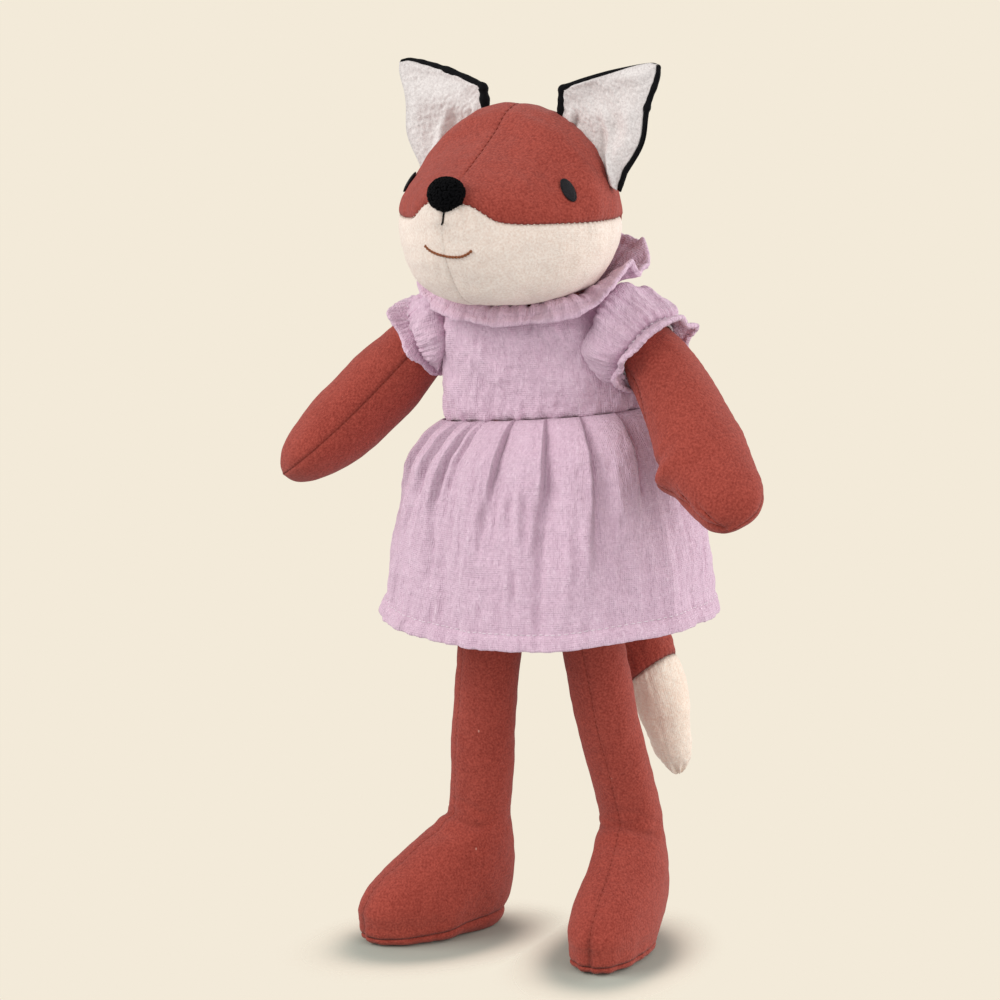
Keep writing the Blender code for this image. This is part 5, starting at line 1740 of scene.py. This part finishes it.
ANKLE_CREASES = {"left": 0.0009, "right": 0.0012}
TOE_TOP = 0.024
SOLE_ROUND = 0.0044
SOLE_BULGE = 0.0004
SOLE_GATHERS = 24


def sole_pucker(theta, distance, height, width):
    """Small gathers round the toe where the sole is sewn on."""
    gathers = np.sin(theta * SOLE_GATHERS + 2 * np.sin(theta * 5)) * fade(distance, width)
    return height * gathers * ease(np.cos(theta), 0.2, 0.9)


def leg(side, sign, finishes):
    """The stuffed leg and foot with a seam down the front, and a crease at the ankle."""
    columns = 160
    theta = rings(columns)[None]
    cos = np.cos(theta)
    seam_level = 0.0050 - 0.0017 * cos
    grid = leg_posed(side, leg_grid(side, sign, theta, seam_level), theta)
    z = grid[..., 2]
    above, low = (z - seam_level).clip(0), ease(TOE_TOP - z, 0, 0.014)
    hip, ankle = np.array([sign * HIP_X, HIP_Y]), np.array(ANKLES[side])
    rise = ((z - ANKLE_LEVEL) / (HIP_LEVEL - ANKLE_LEVEL)).clip(0, 1)[..., None]
    width = np.linalg.norm(grid[..., :2] - ankle - (hip - ankle) * rise, axis=-1).clip(0.006, 0.03)
    front = np.minimum(theta, TURN - theta) * np.where(z < 0.03, 0.012, width)
    back = np.abs(theta - math.pi) * width
    press = (0.0003 + 0.0012 * low) * fade(front, 0.0010) + 0.0003 * fade(back, 0.0010)
    bend = 0.0462 + 0.0020 * np.cos(2 * theta) * (cos > 0)
    upper = bend + 0.0052 + 0.001 * np.sin(3 * theta)
    crease = (
        ANKLE_CREASES[side] * hump(z, bend, 0.0015) * ease(cos, -0.25, 0.35)
        + 0.0011 * hump(z, 0.0432, 0.0034) * ease(cos, 0.0, 0.8)
        - 0.0006 * hump(z, bend - 0.0032, 0.0020) * ease(cos, 0.0, 0.6)
        + 0.0006 * hump(z, upper, 0.0013) * ease(np.cos(theta - 0.5), 0.3, 0.9)
    )
    tug = 0.0001 * np.sin(z / 0.0036 * TURN + sign) * fade(front, 0.0030)
    relief = lumps(grid, (0.00016, 0.024, 111 + sign), (0.00007, 0.0065, 113 + sign))
    relief = relief * ease(HIP_LEVEL - z, 0.0, 0.02)
    pucker = sole_pucker(theta, above, 0.00028, 0.0035)
    grid = raised(grid, pucker + tug + relief - press - crease - 0.0007 * fade(above, 0.0009))
    shade = np.maximum(fade(front, 0.0004) * (0.30 + 0.6 * low), fade(above, 0.0004) * 0.9)
    shade = np.maximum(shade, 0.4 * hump(z, bend, 0.0008) * ease(cos, 0.0, 0.5))
    ends = (grid[0].mean(0) + UP * 0.002, np.array([*hip, HIP_LEVEL + LEG_RADIUS]))
    part = patch(grid, lengths(grid), ends=ends, crease=np.broadcast_to(shade, grid.shape[:2]))
    body, rust = f"{side}_leg", finishes["rust"]
    made = piece(f"leg_{side}_stuffed", rust, body, part, slot="rust_cotton", replaces=[f"leg_{side}"])
    sole(side, grid[0], theta, finishes)
    rows = np.arange(3, 140)
    sewn = stitches(grid[rows, 0], facing(grid)[rows, 0], 0.0024, 0.0013, 0.00018, sink=0.00008)
    piece(f"leg_{side}_stitching", finishes["rust_thread"], body, sewn, slot="rust_cotton")


def sole(side, edge, theta, finishes):
    """The sole, sewn to the foot's lower edge: it rolls under from there to a flat bottom."""
    middle = np.array([*edge[:, :2].mean(0), 0.0])
    turn = np.linspace(0.0, 1.0, 26)[:, None, None]
    out = unit((edge - middle) * (1, 1, 0))
    inset = SOLE_ROUND * (1 - np.sqrt(1 - (1 - turn) ** 2)) - SOLE_BULGE * np.sin(math.pi * turn)
    rim = edge * (1, 1, 0) - out * inset + (edge[:, 2:] - 0.0002) * turn * UP
    drop = (edge[:, 2] - rim[..., 2]).clip(0)
    pucker = sole_pucker(theta, drop, 0.00025, 0.003)
    rim = raised(rim, pucker + lumps(rim, (0.0001, 0.012, 117)) - 0.0006 * fade(drop, 0.0006))
    rim[..., 2] = rim[..., 2].clip(0, None)
    inner = middle + (rim[:1] - middle) * np.linspace(0.05, 0.9, 8)[:, None, None]
    inner[..., 2] = 0.0
    cushion = np.concatenate([inner, rim])
    shade = np.concatenate([np.zeros(inner.shape[:2]), 0.9 * fade(drop, 0.0004)])
    part = patch(cushion, lengths(cushion), ends=(middle, middle + UP * 0.006), crease=shade)
    name, body, solids = f"sole_{side}_stuffed", f"{side}_leg", [f"sole_{side}"]
    made = piece(name, finishes["rust"], body, part, slot="rust_cotton", replaces=solids)


# Tail


def tail_point(place, theta):
    """A point of the tail: circles round a curved middle line, with radii from the tail's shares."""
    place, theta = np.broadcast_arrays(np.asarray(place, float), np.asarray(theta, float))
    line = np.array(TAIL_ROOT) + np.array(TAIL_LINE)
    knots = np.column_stack([np.linspace(0, 1, len(line)), line])
    step = 0.01
    ahead = unit(smooth(knots, np.minimum(place + step, 1)) - smooth(knots, np.maximum(place - step, 0)))
    side = unit(np.cross(ahead, BACKWARDS))
    across = np.cross(ahead, side)
    shares = smooth(turned_places(TAIL_SHARES, np.arcsin), np.arcsin(np.clip(place, 0, 1)))
    return smooth(knots, place) + TAIL_RADIUS * shares * round_way(theta, side, across)


TAIL_TUCK = 0.86
TAIL_SIDE_SEAM = 1.2


def tail(finishes):
    """The rust tail and its cream tip, sewn together along a slanted seam."""
    columns = 110
    theta = rings(columns)
    across = np.array([math.sin(TAIL_SEAM_LEAN), 0, math.cos(TAIL_SEAM_LEAN)])
    seam = tail_point(TAIL_SEAM_SHARE, np.array([0, math.pi])).mean(0)
    places = np.linspace(0.2, 0.9, 240)
    height = (tail_point(places[:, None], theta[None]) - seam) @ across
    cut = np.array([np.interp(0, -column, places) for column in height.T])[None]
    root, first = np.array(TAIL_ROOT), tail_point(0.0, theta)
    ahead = unit(np.cross(first[0] - root, first[columns // 4] - root))
    ahead = ahead * np.sign(ahead @ (tail_point(0.1, 0.0) - first[0]))
    top, end = root - TAIL_ROOT_RADIUS * ahead, tail_point(1.0, 0.0)
    lift = np.cos(np.linspace(0, math.pi / 2, 10)[1:-1])[:, None, None]
    ball = root - TAIL_ROOT_RADIUS * lift * ahead + np.sqrt(1 - lift**2) * (first - root)
    base = np.concatenate([ball, tail_point(np.linspace(0, 1, 60)[:, None] * cut, theta[None])])
    s = np.sin(np.linspace(0, math.pi / 2, 62))[:-1, None]
    tip = tail_point(cut + (1 - cut) * s, theta[None])
    side_seam = np.minimum(np.abs(theta - TAIL_SIDE_SEAM), np.abs(theta - TAIL_SIDE_SEAM - math.pi))
    side_seam = side_seam[None] * TAIL_RADIUS

    def sewn(grid):
        off = np.abs((grid - seam) @ across)
        far = np.linalg.norm(grid - end, axis=-1)
        gather = 0.0006 * np.sin(9 * theta + 1.3 * np.sin(2 * theta))[None] * hump(far, 0.006, 0.005)
        pucker = 0.0002 * np.sin(30 * theta)[None] * fade(off, 0.003)
        press = 0.0008 * fade(off, 0.0009) + 0.0002 * fade(side_seam, 0.0009)
        relief = lumps(grid, (0.00030, 0.016, 121), (0.00010, 0.004, 122))
        shade = np.maximum(fade(off, 0.0006), fade(side_seam, 0.0004) * 0.15)
        return raised(grid, relief + gather + pucker - press), shade

    def tucked(edge):
        """The middle of a seam's edge, and the edge drawn in towards it."""
        inside = edge.mean(0)
        return inside, (inside + (edge - inside) * TAIL_TUCK)[None]

    grid, shade = sewn(base)
    inside, turned = tucked(grid[-1])
    grid, shade = np.concatenate([grid, turned]), np.concatenate([shade, shade[-1:]])
    part = patch(grid, lengths(grid), ends=(top, inside), crease=shade)
    rust = finishes["rust"]
    made = piece("tail_base_stuffed", rust, "tail", part, slot="rust_cotton", replaces=["tail_base"])
    grid, shade = sewn(tip)
    inside, turned = tucked(grid[0])
    grid, shade = np.concatenate([turned, grid]), np.concatenate([shade[:1], shade])
    part = patch(grid, lengths(grid), ends=(inside, end), crease=shade)
    # The tip takes the brightened copy of the cream cotton, painted light.
    cream = finishes["tail_cream"]
    made = piece("tail_tip_stuffed", cream, "tail", part, slot="cream_cotton", replaces=["tail_tip"])


# Camera and light


def look_from(obj, place, aim):
    obj.location = place
    obj.rotation_euler = (Vector(aim) - Vector(place)).to_track_quat("-Z", "Y").to_euler()


def soft_light(name, place, aim, size, power, colour):
    lamp = bpy.data.lights.new(name, "AREA")
    lamp.size, lamp.energy, lamp.color = size, power, colour
    obj = bpy.data.objects.new(name, lamp)
    bpy.context.scene.collection.objects.link(obj)
    look_from(obj, place, aim)


def backdrop():
    """Even white light from all round, seen by the camera as the plain backdrop."""
    world = bpy.data.worlds.new("studio")
    bpy.context.scene.world = world
    world.use_nodes = True
    nodes, links = world.node_tree.nodes, world.node_tree.links
    nodes.clear()
    kinds = ("Background", "Background", "MixShader", "OutputWorld", "LightPath")
    lit, seen, pick, out, ray = (nodes.new(f"ShaderNode{kind}") for kind in kinds)
    lit.inputs[0].default_value = (1.0, 1.0, 1.0, 1.0)
    lit.inputs[1].default_value = WORLD_LIGHT
    seen.inputs[0].default_value = srgb(*BACKDROP)
    links.new(ray.outputs["Is Camera Ray"], pick.inputs[0])
    links.new(lit.outputs[0], pick.inputs[1])
    links.new(seen.outputs[0], pick.inputs[2])
    links.new(pick.outputs[0], out.inputs[0])


def floor_finish():
    """The floor's plain colour with a shadow painted into it round each foot, fading out away from the feet.
    """
    finish = Finish("floor", {"Roughness": 1.0, "Specular IOR Level": 0.0})
    place = finish.place()
    near = []
    for side, _ in SIDES:
        ahead, left = foot_ways(side)
        middle = np.array([*ANKLES[side], 0.0]) + ahead * (TOE_REACH - HEEL_REACH) / 2 + SHADOW_SHIFT
        off = finish.vector("SUBTRACT", place, tuple(middle))
        forward = finish.vector("DOT_PRODUCT", off, tuple(ahead / SHADOW_REACH[0]), "Value")
        sideways = finish.vector("DOT_PRODUCT", off, tuple(left / SHADOW_REACH[1]), "Value")
        near.append((forward * forward + sideways * sideways).math("SQRT"))
    start, end = SHADOW_FADE
    span = {"From Min": start, "From Max": end, "To Min": 1.0, "To Max": 0.0}
    span["Value"] = near[0].math("MINIMUM", near[1])
    shade = finish.node("MapRange", {"interpolation_type": "SMOOTHSTEP"}, span)
    plain = srgb(*BACKDROP)
    # Painted shadow: the floor's colour darkens by the shadow tint towards each foot.
    finish.vary("Base Color", finish.mix(shade * shade * shade, plain, dimmed(plain, *SHADOW_TINT)))
    finish.vary("Alpha", shade)
    return finish.material


def floor():
    theta = rings(96)
    radii = np.linspace(0.01, FLOOR_RADIUS, 24)[:, None]
    grid = xyz(radii * np.cos(theta), radii * np.sin(theta), FLOOR_LEVEL)
    part = patch(grid, ends=(np.array([0, 0, FLOOR_LEVEL]), None))
    mesh = bpy.data.meshes.new("floor")
    faces = [[int(i) for i in face if i >= 0] for face in part["faces"]]
    mesh.from_pydata(part["points"].tolist(), [], faces)
    mesh.materials.append(floor_finish())
    obj = bpy.data.objects.new("floor", mesh)
    bpy.context.scene.collection.objects.link(obj)


def studio():
    """A camera at the photograph's place, three soft lights, and a pale floor that fades out."""
    scene = bpy.context.scene
    scene.view_settings.view_transform = "Standard"
    lens = bpy.data.cameras.new("camera")
    lens.lens, lens.sensor_width = CAMERA_LENS, CAMERA_SENSOR
    camera = bpy.data.objects.new("camera", lens)
    scene.collection.objects.link(camera)
    look_from(camera, CAMERA_PLACE, CAMERA_AIM)
    scene.camera = camera
    for name, light in LIGHTS.items():
        soft_light(name, *light)
    backdrop()
    floor()


def main():
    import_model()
    finishes = make_finishes()
    trunk(finishes)
    bodice(finishes)
    skirt(finishes)
    collar(finishes)
    tree = surface_tree(head(finishes))
    for side, sign in SIDES:
        eye(side, sign, tree, finishes)
        ear(side, sign, finishes)
        arm(side, sign, finishes)
        sleeve(side, sign, finishes)
        cuff_elastic(side, finishes)
        leg(side, sign, finishes)
    nose(finishes)
    mouth(tree, finishes)
    tail(finishes)
    studio()


main()
